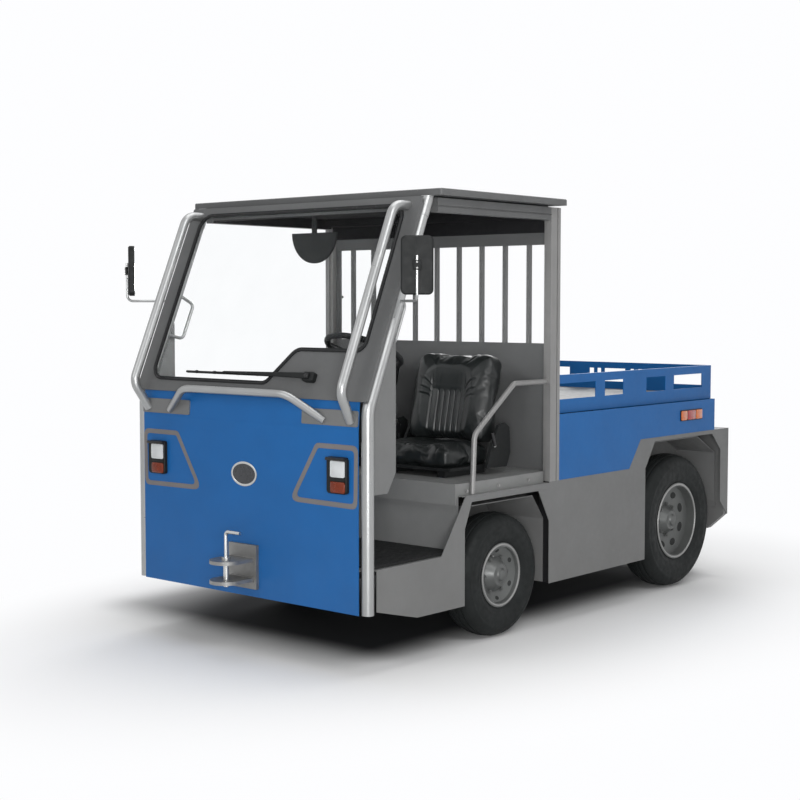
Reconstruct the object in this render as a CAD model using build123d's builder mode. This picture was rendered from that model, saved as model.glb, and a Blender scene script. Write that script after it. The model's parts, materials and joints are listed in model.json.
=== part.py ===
from build123d import *
import os
from math import atan2, cos, degrees, hypot, radians, sin

os.makedirs("parts", exist_ok=True)

# Airport baggage tug: a two-seat tow tractor with an open cab and a load tray.
# Millimetres. +Z is up, the front faces -Y and the vehicle's left side is +X.
# The origin is on the ground, at the middle of the whole vehicle.
# A station is a distance behind the front panel's face.

# Overall sizes
BODY_LENGTH = 3137.0
BODY_WIDTH = 1500.0
SKIN = 4.0
SEAM = 0.5
FRONT_Y = -BODY_LENGTH / 2
SIDE_X = BODY_WIDTH / 2
SKIN_X = SIDE_X - SKIN

# Wheels: outer radius, section half width, rim radius, rim half width
FRONT_TYRE_R = 297.0
FRONT_TYRE_HALF = 87.5
FRONT_RIM_R = 142.0
FRONT_RIM_HALF = 66.0
REAR_TYRE_R = 373.0
REAR_TYRE_HALF = 97.5
REAR_RIM_R = 200.0
REAR_RIM_HALF = 76.0
TYRE_FACE_X = 715.0
RIM_WALL = 7.0
RIM_LIP = 12.0
RUNNING_GAP = 0.05

# Heights
FRONT_BOTTOM = 262.0
FOLD_Z = 1050.0
COWL_TOP = 1172.0
COWL_LEAN = 9.0
SKIRT_BOTTOM = 208.0
FLOOR_TOP = 455.0
PLATFORM_TOP = 765.0
SILL_LEDGE = 712.0
BLUE_BOTTOM = 717.0
FENDER_TOP = 2 * REAR_TYRE_R + 119.0
TRAY_SEAM = FENDER_TOP + 178.0
TRAY_TOP = TRAY_SEAM + 190.0
ROOF_TOP = 2087.0
ROOF_PLATE = 30.0
WINDOW_SILL = PLATFORM_TOP + 625.0
WINDOW_HEAD = ROOF_TOP - 215.0

# Corner posts and windscreen plane
POST_D = 54.0
POST_X = SIDE_X - POST_D / 2
POST_STATION = 30.0
POST_KINK_Z = 1140.0
POST_LEAN_RISE = 920.0
POST_LEAN_RUN = 396.0
POST_BEND = 160.0

# Wheel arches and axles
FRONT_AXLE = 1007.0
REAR_AXLE = BODY_LENGTH - 490.0
WELL_WALL = 4.0
WELL_SETBACK = 50.0
TAIL_CORNER = (BODY_LENGTH - 15, 373)
TAIL_TIP_Z = 363.0
TAIL_BOTTOM = 273.0

# Steering
KINGPIN_X = 600.0
KINGPIN_R = 11.0
AXLE_EYE_R = 27.0
AXLE_EYE_H = 60.0
FORK_GAP = 0.4
FORK_T = 17.0
SPINDLE_R = 20.0
ARM_SIDE = 45.0
ARM_LONG = 85.0
TIE_ROD_R = 12.0

# Chassis
RAIL_X = 340.0
RAIL_W = 60.0
RAIL_H = 120.0
FRONT_WELL_X = RAIL_X + RAIL_W / 2 + 4.0
REAR_WELL_X = 452.0
FRONT_RAIL_TOP = 450.0
REAR_RAIL_TOP = 600.0
BUMPER_T = 42.0

# Hitches
HITCH_REACH = 190.0
HITCH_PLATE_W = 180.0
HITCH_PLATE_T = 16.0
HITCH_PLATE_Z = (300.0, 500.0)
HITCH_PIN_REACH = 115.0
EAR_T = 16.0
EAR_Z = (343.0, 433.0)
HITCH_PIN_R = 12.5

# Cab
REAR_POST_W = 80.0
REAR_POST_D = 46.0
REAR_POST_STATION = 1331.0
WALL_STATION = 1366.0
WALL_T = 26.0
BAR = 20.0
BAR_COUNT = 9
BAR_PITCH = 146.5
KICK_WALL = 657.0
TRAY_FRONT = 1411.5
TRAY_REAR = BODY_LENGTH - 168.0
TRAY_INSET = 27.0


def station(distance):
    """The Y of a point this far behind the front panel's face."""
    return FRONT_Y + distance


def side_plane(x):
    """A plane at x, seen from the left: local x is Y and local y is Z."""
    return Plane(origin=(x, 0, 0), x_dir=(0, 1, 0), z_dir=(1, 0, 0))


def outline(points):
    """Points given as (station, height), for a sketch on a side plane."""
    return [(station(distance), height) for distance, height in points]


def bent_plate(points, thickness):
    """Closed outline of a plate bent along these points, thick to their left."""
    normals = []
    for (x0, y0), (x1, y1) in zip(points, points[1:]):
        length = hypot(x1 - x0, y1 - y0)
        normals.append(((y0 - y1) / length, (x1 - x0) / length))
    outer = []
    for index, (x, y) in enumerate(points):
        before = normals[max(index - 1, 0)]
        after = normals[min(index, len(normals) - 1)]
        mitre_x = before[0] + after[0]
        mitre_y = before[1] + after[1]
        reach = 2 * thickness / (mitre_x ** 2 + mitre_y ** 2)
        outer.append((x + mitre_x * reach, y + mitre_y * reach))
    return points + outer[::-1]


def save(part, name):
    """Label a finished piece and write it as one STEP file."""
    part.label = name
    export_step(part, f"parts/{name}.step")


# The windscreen plane holds the axes of the leaning corner posts
LEAN = atan2(POST_LEAN_RUN, POST_LEAN_RISE)
POST_SLOPE = POST_LEAN_RUN / POST_LEAN_RISE
SCREEN = Plane(
    origin=(0, station(POST_STATION), POST_KINK_Z),
    x_dir=(1, 0, 0),
    z_dir=(0, -cos(LEAN), sin(LEAN)),
)


def screen_height(z, proud):
    """Distance up the windscreen plane to height z, on a face this far in front of it."""
    return (z - POST_KINK_Z - proud * sin(LEAN)) / cos(LEAN)


def post_station(z):
    """Station of a corner post's axis at height z, above its kink."""
    return POST_STATION + POST_SLOPE * (z - POST_KINK_Z)


# Arch outlines on the body side, as (station, height), open at the bottom
FRONT_ARCH = [(661, 0), (661, 560), (713, 681), (1238, 681), (1329, 525), (1329, 0)]
REAR_ARCH = [
    (REAR_AXLE - 425, 0), (REAR_AXLE - 425, FENDER_TOP - 160),
    (REAR_AXLE - 330, FENDER_TOP - 22), (REAR_AXLE + 299, FENDER_TOP - 22),
    (REAR_AXLE + 398, FENDER_TOP - 117), (REAR_AXLE + 401, 449),
]
STRIP_Z = FRONT_ARCH[2][1]

# Inner faces of the wheel housings, as (station, height), from front foot to rear foot
FRONT_WELL = [(668, 330), (668, 560), (722, 650), (1255, 650), (1345, 530), (1345, 216)]
REAR_WELL = [
    (REAR_AXLE - 441, 300), (REAR_AXLE - 441, FENDER_TOP - 160),
    (REAR_AXLE - 335, FENDER_TOP - 37), (REAR_AXLE + 215, FENDER_TOP - 37),
    (REAR_AXLE + 415, FENDER_TOP - 141), (REAR_AXLE + 428, 440), (REAR_AXLE + 443, 405),
]


def frame():
    """Two stepped chassis rails joined by cross members."""
    step_front = 700.0
    step_rear = 780.0
    rail_end = BODY_LENGTH - BUMPER_T - 1.0
    cross_members = [
        # station, length along Y, bottom, top, half width
        (SKIN, 60, HITCH_PLATE_Z[0], FRONT_RAIL_TOP, 480),
        (step_rear, 60, REAR_RAIL_TOP - RAIL_H, REAR_RAIL_TOP, RAIL_X),
        (REAR_POST_STATION + 4, 60, REAR_RAIL_TOP - RAIL_H, REAR_RAIL_TOP, RAIL_X),
        (REAR_AXLE - 437, 60, REAR_RAIL_TOP - RAIL_H, REAR_RAIL_TOP, REAR_WELL_X - WELL_WALL),
        (rail_end - 60, 60, REAR_RAIL_TOP - RAIL_H, REAR_RAIL_TOP, REAR_WELL_X - WELL_WALL),
    ]
    rail = outline([
        (SKIN, FRONT_RAIL_TOP - RAIL_H),
        (step_front, FRONT_RAIL_TOP - RAIL_H),
        (step_rear, REAR_RAIL_TOP - RAIL_H),
        (rail_end, REAR_RAIL_TOP - RAIL_H),
        (rail_end, REAR_RAIL_TOP),
        (step_front, REAR_RAIL_TOP),
        (KICK_WALL + SKIN + SEAM, FRONT_RAIL_TOP),
        (SKIN, FRONT_RAIL_TOP),
    ])
    with BuildPart() as chassis:
        with BuildSketch(side_plane(RAIL_X - RAIL_W / 2)):
            Polygon(*rail, align=None)
        extrude(amount=RAIL_W)
        mirror(about=Plane.YZ)
        for start, length, bottom, top, half_width in cross_members:
            with Locations((0, station(start), bottom)):
                Box(
                    2 * half_width, length, top - bottom,
                    align=(Align.CENTER, Align.MIN, Align.MIN),
                )
    save(chassis.part, "frame")


def front_panel():
    """The blue front sheet, folded where its top band leans back."""
    half = POST_X - POST_D / 2 - SEAM
    profile = outline([
        (0, FRONT_BOTTOM), (0, FOLD_Z), (COWL_LEAN, COWL_TOP),
        (COWL_LEAN + SKIN, COWL_TOP), (SKIN, FOLD_Z), (SKIN, FRONT_BOTTOM),
    ])
    with BuildPart() as panel:
        with BuildSketch(side_plane(-half)):
            Polygon(*profile, align=None)
        extrude(amount=2 * half)
        with BuildSketch(Plane.XZ.offset(-station(0))) as holes:
            with Locations((LAMP_X, LAMP_Z), (-LAMP_X, LAMP_Z)):
                RectangleRounded(LAMP_W - 16, LAMP_H - 16, 18)
        extrude(amount=2 * SKIN, both=True, mode=Mode.SUBTRACT)
    save(panel.part, "front_panel")


LAMP_X = 586.0
LAMP_Z = 855.0
LAMP_W = 116.0
LAMP_H = 158.0
LAMP_PROUD = 24.0
LAMP_DEPTH = 60.0


def headlamps():
    """Headlamp units: a black pod with a cap above two lens seats."""
    front = Plane.XZ.offset(-station(0))
    with BuildPart() as lamp:
        with BuildSketch(front.offset(LAMP_PROUD * 0.5)):
            with Locations((LAMP_X, LAMP_Z)):
                RectangleRounded(LAMP_W, LAMP_H, 22)
        extrude(amount=-LAMP_PROUD * 0.5)
        with BuildSketch(front):
            with Locations((LAMP_X, LAMP_Z)):
                RectangleRounded(LAMP_W - 18, LAMP_H - 18, 17)
        extrude(amount=-LAMP_DEPTH)
        with BuildSketch(front.offset(LAMP_PROUD * 0.5)):
            with Locations((LAMP_X, LAMP_Z + 8)):
                RectangleRounded(LAMP_W - 20, LAMP_H - 36, 18)
        extrude(amount=LAMP_PROUD * 0.5, taper=12)
        with BuildSketch(side_plane(LAMP_X - LAMP_W * 0.42)):
            Polygon(
                *outline([
                    (-LAMP_PROUD * 0.5, LAMP_Z + 50), (-LAMP_PROUD - 12, LAMP_Z + 54),
                    (-LAMP_PROUD - 6, LAMP_Z + 66), (-LAMP_PROUD * 0.5, LAMP_Z + 74),
                ]),
                align=None,
            )
        extrude(amount=LAMP_W * 0.84)
        mirror(about=Plane.YZ)
    save(lamp.part, "headlamps")


def marker_lamps():
    """Side marker clusters on the blue body and tail lamps on its rear panel."""
    side_station = REAR_AXLE + 54
    side_z = TRAY_SEAM - 77
    tail_z = TRAY_SEAM - 88
    with BuildPart() as lamps:
        with BuildSketch(side_plane(SIDE_X)):
            with Locations((station(side_station), side_z)):
                RectangleRounded(240, 62, 10)
        extrude(amount=9, taper=15)
        with BuildSketch(Plane.XZ.offset(-station(TRAY_REAR))):
            with Locations((SIDE_X - 140, tail_z)):
                RectangleRounded(200, 90, 12)
        extrude(amount=-14, taper=15)
        mirror(about=Plane.YZ)
    save(lamps.part, "marker_lamps")


MIRROR_X = 935.0
MIRROR_STATION = 100.0
MIRROR_Z = ROOF_TOP - 342.0
MIRROR_W = 136.0
MIRROR_H = 245.0
MIRROR_T = 30.0
MIRROR_TURN = 39.0
MIRROR_ARM_R = 6.0
HANDLE_R = 8.0
ROD_SIDES = 12


def corner_posts():
    """Bent corner tubes with their grab handles and mirror arms welded on."""
    top_z = ROOF_TOP - ROOF_PLATE - SEAM
    over_z = top_z + POST_D
    arm_z = MIRROR_Z - 148
    arm_top = MIRROR_Z + 40
    arm_root = post_station(arm_z)
    handle = [
        # inboard, behind the post's axis, height
        (14, 12, arm_z + 25),
        (35, 95, arm_z - 19),
        (35, 95, arm_z - 185),
        (14, 12, arm_z - 167),
    ]
    with BuildPart() as posts:
        with BuildLine() as axis:
            FilletPolyline(
                (POST_X, station(POST_STATION), FRONT_BOTTOM + 2),
                (POST_X, station(POST_STATION), POST_KINK_Z),
                (POST_X, station(post_station(over_z)), over_z),
                radius=POST_BEND,
            )
        with BuildSketch(Plane(axis.line @ 0, z_dir=(0, 0, 1))):
            Circle(POST_D / 2)
        sweep(path=axis.wires()[0])
        split(bisect_by=Plane.XY.offset(top_z), keep=Keep.BOTTOM)
        with BuildLine() as grip:
            FilletPolyline(
                *[
                    (POST_X - inboard, station(post_station(z) + back), z)
                    for inboard, back, z in handle
                ],
                radius=24,
            )
        with BuildSketch(Plane(grip.line @ 0, z_dir=grip.line % 0)):
            RegularPolygon(HANDLE_R, ROD_SIDES)
        sweep(path=grip.wires()[0])
        with BuildLine() as arm:
            FilletPolyline(
                (POST_X + 10, station(arm_root), arm_z),
                (MIRROR_X, station(MIRROR_STATION), arm_z),
                (MIRROR_X, station(MIRROR_STATION), arm_top),
                radius=28,
            )
        with BuildSketch(Plane(arm.line @ 0, z_dir=arm.line % 0)):
            RegularPolygon(MIRROR_ARM_R, ROD_SIDES)
        sweep(path=arm.wires()[0])
        mirror(about=Plane.YZ)
    save(posts.part, "corner_posts")


def mirrors():
    """Outer mirror heads, hung behind their arms and turned to the driver."""
    turn = radians(MIRROR_TURN)
    facing = Vector(-sin(turn), cos(turn), 0)
    back = Vector(MIRROR_X, station(MIRROR_STATION), MIRROR_Z) + facing * (MIRROR_ARM_R + 0.2)
    head_plane = Plane(origin=back, x_dir=(-facing.Y, facing.X, 0), z_dir=facing)
    with BuildPart() as heads:
        with BuildSketch(head_plane):
            RectangleRounded(MIRROR_W, MIRROR_H, 22)
        extrude(amount=MIRROR_T)
        chamfer(heads.faces().sort_by(Axis(head_plane.origin, facing))[0].edges(), 6)
        mirror(about=Plane.YZ)
    save(heads.part, "mirrors")


GUARD_X = 670.0
GUARD_R = 21.0
GUARD_AHEAD = 145.0
GUARD_TOP = ROOF_TOP - 75.0
RAIL_R = 17.0
RAIL_Z = COWL_TOP + 23
RAIL_AHEAD = 70.0


def guard_station(z):
    """Station of a guard leg's axis at height z, on the part that leans."""
    return post_station(z) - GUARD_AHEAD


def windscreen_guard():
    """Two guard legs before the windscreen, their lower rail and foot plates."""
    plate_t = 6.0
    plate_w = 328.0
    knee_z = COWL_TOP + 43
    foot_x = GUARD_X - 15
    band_lean = degrees(atan2(COWL_LEAN, COWL_TOP - FOLD_Z))
    band = Plane(
        origin=(0, station(0), FOLD_Z), x_dir=(1, 0, 0),
        z_dir=(0, -cos(radians(band_lean)), sin(radians(band_lean))),
    )
    sheet_front = SCREEN.offset(SHEET_PROUD + SHEET_T + SEAM)
    with BuildPart() as guard:
        with BuildLine() as leg:
            FilletPolyline(
                (foot_x, station(-1), FOLD_Z + 38),
                (GUARD_X, station(guard_station(knee_z)), knee_z),
                (GUARD_X, station(guard_station(GUARD_TOP)), GUARD_TOP),
                (GUARD_X, station(post_station(GUARD_TOP)), GUARD_TOP),
                radius=[75, 70],
            )
        with BuildSketch(Plane(leg.line @ 0, z_dir=leg.line % 0)):
            Circle(GUARD_R)
        sweep(path=leg.wires()[0])
        with BuildSketch(sheet_front):
            with Locations((0, screen_height(GUARD_TOP, SHEET_PROUD))):
                Rectangle(2 * SIDE_X, 300)
        extrude(amount=-2 * GUARD_AHEAD, mode=Mode.SUBTRACT)
        with BuildLine() as half_rail:
            FilletPolyline(
                (0, station(-RAIL_AHEAD), RAIL_Z),
                (GUARD_X / 2, station(-RAIL_AHEAD), RAIL_Z),
                (GUARD_X * 0.75, station(-1), FOLD_Z + 35),
                radius=[130],
            )
        with BuildSketch(Plane(half_rail.line @ 0, z_dir=(1, 0, 0))):
            Circle(RAIL_R)
        sweep(path=half_rail.wires()[0])
        with BuildSketch(band):
            with Locations((POST_X - POST_D / 2 - 1 - plate_w / 2, 50)):
                RectangleRounded(plate_w, 68, 8)
        extrude(amount=plate_t)
        mirror(about=Plane.YZ)
        with BuildSketch(band) as behind:
            Rectangle(2 * SIDE_X, 200, align=(Align.CENTER, Align.CENTER))
        extrude(amount=-60, mode=Mode.SUBTRACT)
    save(guard.part, "windscreen_guard")


PACKER_T = 15.2
SHEET_PROUD = POST_D / 2 + SEAM + PACKER_T
SHEET_T = 4.0
SHEET_HALF = SIDE_X - 8
GLASS_GAP = 17.0
OPENING_HALF = SHEET_HALF - 78
OPENING_BOTTOM = COWL_TOP + 50
OPENING_TOP = ROOF_TOP - 67
CORNER_RISE = 152.0
SCREEN_OUTLINE = [
    # x, height: the glass opening, with its raised corner before the driver
    (-OPENING_HALF, OPENING_BOTTOM), (OPENING_HALF - 539, OPENING_BOTTOM),
    (OPENING_HALF - 404, OPENING_BOTTOM + CORNER_RISE),
    (OPENING_HALF, OPENING_BOTTOM + CORNER_RISE),
    (OPENING_HALF, OPENING_TOP), (-OPENING_HALF, OPENING_TOP),
]
SCREEN_RADII = [80, 60, 60, 55, 75, 75]


def screen_points(proud):
    """The glass opening's corners in the windscreen plane's own frame."""
    return [(x, screen_height(z, proud)) for x, z in SCREEN_OUTLINE]


def rounded_outline(points, radii):
    """Sketch a closed outline, each corner with its own radius."""
    with BuildSketch() as shape:
        Polygon(*points, align=None)
        for (x, y), radius in zip(points, radii):
            corner = shape.vertices().sort_by_distance((x, y, 0))[0]
            fillet(corner, radius)
    return shape.sketch


def windscreen_frame():
    """The flat steel sheet round the glass, with the packers that carry it."""
    bottom = screen_height(COWL_TOP + 1, SHEET_PROUD)
    packer_bottom = screen_height(COWL_TOP + 1, SHEET_PROUD - PACKER_T)
    top = screen_height(ROOF_TOP - ROOF_PLATE - 6, SHEET_PROUD)
    packer_w = 34.0
    packer_x = SHEET_HALF - packer_w / 2
    sill_h = 24.0
    cap_rear = BEAM_FRONT - SEAM
    cap_t = 4.0
    cap_front = post_station(BEAM_TOP) - SHEET_PROUD / cos(LEAN) - SHEET_T / 2
    opening = rounded_outline(screen_points(SHEET_PROUD), SCREEN_RADII)
    with BuildPart() as sheet:
        with BuildSketch(SCREEN.offset(SHEET_PROUD)):
            Polygon(
                (-SHEET_HALF, bottom), (SHEET_HALF, bottom), (SHEET_HALF, top),
                (-SHEET_HALF, top), align=None,
            )
            add(opening, mode=Mode.SUBTRACT)
        extrude(amount=SHEET_T)
        with BuildSketch(SCREEN.offset(SHEET_PROUD - PACKER_T)):
            for side in (-1, 1):
                with Locations((side * packer_x, packer_bottom)):
                    Rectangle(
                        packer_w, top - packer_bottom - sill_h,
                        align=(Align.CENTER, Align.MIN),
                    )
            with Locations((0, packer_bottom + sill_h / 2)):
                Rectangle(2 * SHEET_HALF, sill_h)
        extrude(amount=PACKER_T)
        with Locations((0, station(cap_front), BEAM_TOP)):
            Box(
                2 * (POST_X - POST_D), cap_rear - cap_front, cap_t,
                align=(Align.CENTER, Align.MIN, Align.MAX),
            )
    save(sheet.part, "windscreen_frame")


def windscreen():
    """The glass pane and, around it, the rubber seal that fills the opening."""
    opening = rounded_outline(screen_points(SHEET_PROUD), SCREEN_RADII)
    with BuildPart() as pane:
        with BuildSketch(SCREEN.offset(SHEET_PROUD)):
            offset(opening, amount=-GLASS_GAP)
        extrude(amount=SHEET_T)
    save(pane.part, "windscreen")
    with BuildPart() as seal:
        with BuildSketch(SCREEN.offset(SHEET_PROUD)):
            add(opening)
            offset(opening, amount=-GLASS_GAP, mode=Mode.SUBTRACT)
        extrude(amount=SHEET_T + 5)
    save(seal.part, "windscreen_seal")


ROOF_HALF = 802.0
ROOF_FRONT = post_station(ROOF_TOP) - 12.6
ROOF_REAR = WALL_STATION + WALL_T + 1
BEAM_TOP = ROOF_TOP - ROOF_PLATE - 8
BEAM_H = 62.0
BEAM_FRONT = post_station(ROOF_TOP) + 24.4


def roof_plate():
    """The flat roof skin with its folded rim and a crown of two long ribs."""
    with BuildPart() as plate:
        with Locations((0, station(ROOF_FRONT), ROOF_TOP)):
            Box(
                2 * ROOF_HALF, ROOF_REAR - ROOF_FRONT, ROOF_PLATE,
                align=(Align.CENTER, Align.MIN, Align.MAX),
            )
        fillet(plate.edges().filter_by(Axis.Z), 12)
        chamfer(plate.faces().sort_by(Axis.Z)[-1].edges(), 4)
    save(plate.part, "roof_plate")


def roof_frame():
    """Side beams, cross beams and headliner under the roof plate."""
    beam_w = REAR_POST_D
    front = BEAM_FRONT
    rear = REAR_POST_STATION - SEAM
    bottom = BEAM_TOP - BEAM_H
    with BuildPart() as beams:
        with BuildSketch(Plane.XZ.offset(-station(front))) as section:
            with Locations((SIDE_X - beam_w / 2, BEAM_TOP - BEAM_H / 2)):
                Rectangle(beam_w, BEAM_H)
            with Locations((SIDE_X, bottom + BEAM_H * 0.42)):
                Rectangle(12, 7, mode=Mode.SUBTRACT)
        extrude(amount=-(rear - front))
        with BuildSketch(Plane.XZ.offset(-station(front))):
            with Locations((SIDE_X - 30 - beam_w, BEAM_TOP + 4)):
                Rectangle(60 + beam_w, 8)
        extrude(amount=-(rear - front))
        mirror(about=Plane.YZ)
        with Locations((0, station(front), BEAM_TOP)):
            Box(
                2 * (SIDE_X - beam_w), 50, 50, align=(Align.CENTER, Align.MIN, Align.MAX)
            )
        with Locations((0, station(rear - 50), BEAM_TOP)):
            Box(
                2 * (SIDE_X - beam_w), 50, 50, align=(Align.CENTER, Align.MIN, Align.MAX)
            )
        with Locations((0, station(front), BEAM_TOP)):
            Box(
                2 * (SIDE_X - beam_w), rear - front, 5,
                align=(Align.CENTER, Align.MIN, Align.MAX),
            )
    save(beams.part, "roof_frame")


RAIL_X_SIDE = 725.0


def rear_posts():
    """Grooved rear cab posts, each with its entry handrail welded on."""
    bottom = SILL_LEDGE + 5
    height = BEAM_TOP - bottom
    rail = [
        # station, height
        (REAR_POST_STATION + 5, 1207),
        (1068, 1207),
        (762, 985),
        (748, SILL_LEDGE + 1.0),
    ]
    with BuildPart() as posts:
        with BuildSketch(Plane.XY.offset(bottom)):
            with Locations((SIDE_X - REAR_POST_D / 2, station(REAR_POST_STATION) + REAR_POST_W / 2)):
                Rectangle(REAR_POST_D, REAR_POST_W)
            with Locations((SIDE_X, station(REAR_POST_STATION) + REAR_POST_W * 0.68)):
                Rectangle(12, 7, mode=Mode.SUBTRACT)
            with Locations((SIDE_X - REAR_POST_D, station(REAR_POST_STATION))):
                Rectangle(36, 16, mode=Mode.SUBTRACT)
        extrude(amount=height)
        with BuildLine() as bar:
            FilletPolyline(
                *[(RAIL_X_SIDE, station(distance), z) for distance, z in rail],
                radius=[45, 60],
            )
        with BuildSketch(Plane(bar.line @ 0, z_dir=bar.line % 0)):
            Circle(12.5)
        sweep(path=bar.wires()[0])
        mirror(about=Plane.YZ)
    save(posts.part, "rear_posts")


def rear_wall():
    """Half wall behind the seats, with a header over the barred window."""
    half = SIDE_X - REAR_POST_D - SEAM
    with BuildPart() as wall:
        with Locations((0, station(WALL_STATION), PLATFORM_TOP)):
            Box(
                2 * half, WALL_T, BEAM_TOP - PLATFORM_TOP,
                align=(Align.CENTER, Align.MIN, Align.MIN),
            )
        with Locations((0, station(WALL_STATION), WINDOW_SILL)):
            Box(
                2 * half - 36, WALL_T, WINDOW_HEAD - WINDOW_SILL,
                align=(Align.CENTER, Align.MIN, Align.MIN), mode=Mode.SUBTRACT,
            )
    save(wall.part, "rear_wall")


def window_bars():
    """Upright square bars across the rear window."""
    centre = station(WALL_STATION + WALL_T / 2)
    with BuildPart() as bars:
        with BuildSketch(Plane.XY.offset(WINDOW_SILL)):
            with Locations((0, centre)):
                with GridLocations(BAR_PITCH, 1, BAR_COUNT, 1):
                    Rectangle(BAR, BAR)
        extrude(amount=WINDOW_HEAD - WINDOW_SILL)
    save(bars.part, "window_bars")


MAT_T = 7.0


def cab_floor():
    """Floor plate of the footwell and the rubber mat on it."""
    half = SKIN_X - SEAM
    front = SKIN
    with BuildPart() as plate:
        with Locations((0, station(front), FLOOR_TOP)):
            Box(
                2 * half, KICK_WALL - front, FLOOR_TOP - FRONT_RAIL_TOP,
                align=(Align.CENTER, Align.MIN, Align.MAX),
            )
        with Locations(
            (SIDE_X, station(POST_STATION), FLOOR_TOP),
            (-SIDE_X, station(POST_STATION), FLOOR_TOP),
        ):
            Box(2 * (POST_D + SEAM), POST_D + 2 * SEAM, 60, mode=Mode.SUBTRACT)
    save(plate.part, "cab_floor")
    with BuildPart() as mat:
        with Locations((0, station(64), FLOOR_TOP)):
            Box(
                1448, KICK_WALL - 64 - 22, MAT_T, align=(Align.CENTER, Align.MIN, Align.MIN)
            )
        fillet(mat.edges().filter_by(Axis.Z), 14)
    save(mat.part, "floor_mat")


def seat_platform():
    """Raised seat deck with its front beam, kick wall and side ledges."""
    half = RAIL_X_SIDE - 12.5 - SEAM
    narrow = SIDE_X - REAR_POST_D - SEAM
    sheet = 4.0
    beam_depth = 20.0
    beam_height = 98.0
    ledge_rear = REAR_POST_STATION - SEAM
    with BuildPart() as platform:
        with Locations((0, station(KICK_WALL), FLOOR_TOP)):
            Box(
                2 * half, sheet, PLATFORM_TOP - FLOOR_TOP,
                align=(Align.CENTER, Align.MIN, Align.MIN),
            )
        with Locations((0, station(KICK_WALL - beam_depth), PLATFORM_TOP)):
            Box(
                2 * half, beam_depth, beam_height,
                align=(Align.CENTER, Align.MIN, Align.MAX),
            )
        with Locations((0, station(KICK_WALL), PLATFORM_TOP)):
            Box(
                2 * half, ledge_rear - KICK_WALL, sheet,
                align=(Align.CENTER, Align.MIN, Align.MAX),
            )
            Box(
                2 * narrow, WALL_STATION + WALL_T - KICK_WALL, sheet,
                align=(Align.CENTER, Align.MIN, Align.MAX),
            )
        for side in (-1, 1):
            with Locations((side * (half - sheet / 2), station(KICK_WALL), SILL_LEDGE)):
                Box(
                    sheet, ledge_rear - KICK_WALL, PLATFORM_TOP - SILL_LEDGE,
                    align=(Align.CENTER, Align.MIN, Align.MIN),
                )
        with Locations((0, station(KICK_WALL), SILL_LEDGE)):
            Box(
                2 * (SKIN_X - SEAM), ledge_rear - KICK_WALL, sheet,
                align=(Align.CENTER, Align.MIN, Align.MAX),
            )
    save(platform.part, "seat_platform")


SEAT_X = 325.0
SEAT_W = 500.0
CUSHION_FRONT = 765.0
CUSHION_W = SEAT_W - 20
CUSHION_DEPTH = 370.0
CUSHION_BOTTOM = PLATFORM_TOP + 47.0
CUSHION_T = 92.0
BACK_FOOT = CUSHION_FRONT + 280.0
BACK_H = 460.0
BACK_T = 95.0
BOLSTER = 40.0
BOLSTER_W = 76.0
BACK_RECLINE = 12.0
BACK_GAP = 0.3


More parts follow.
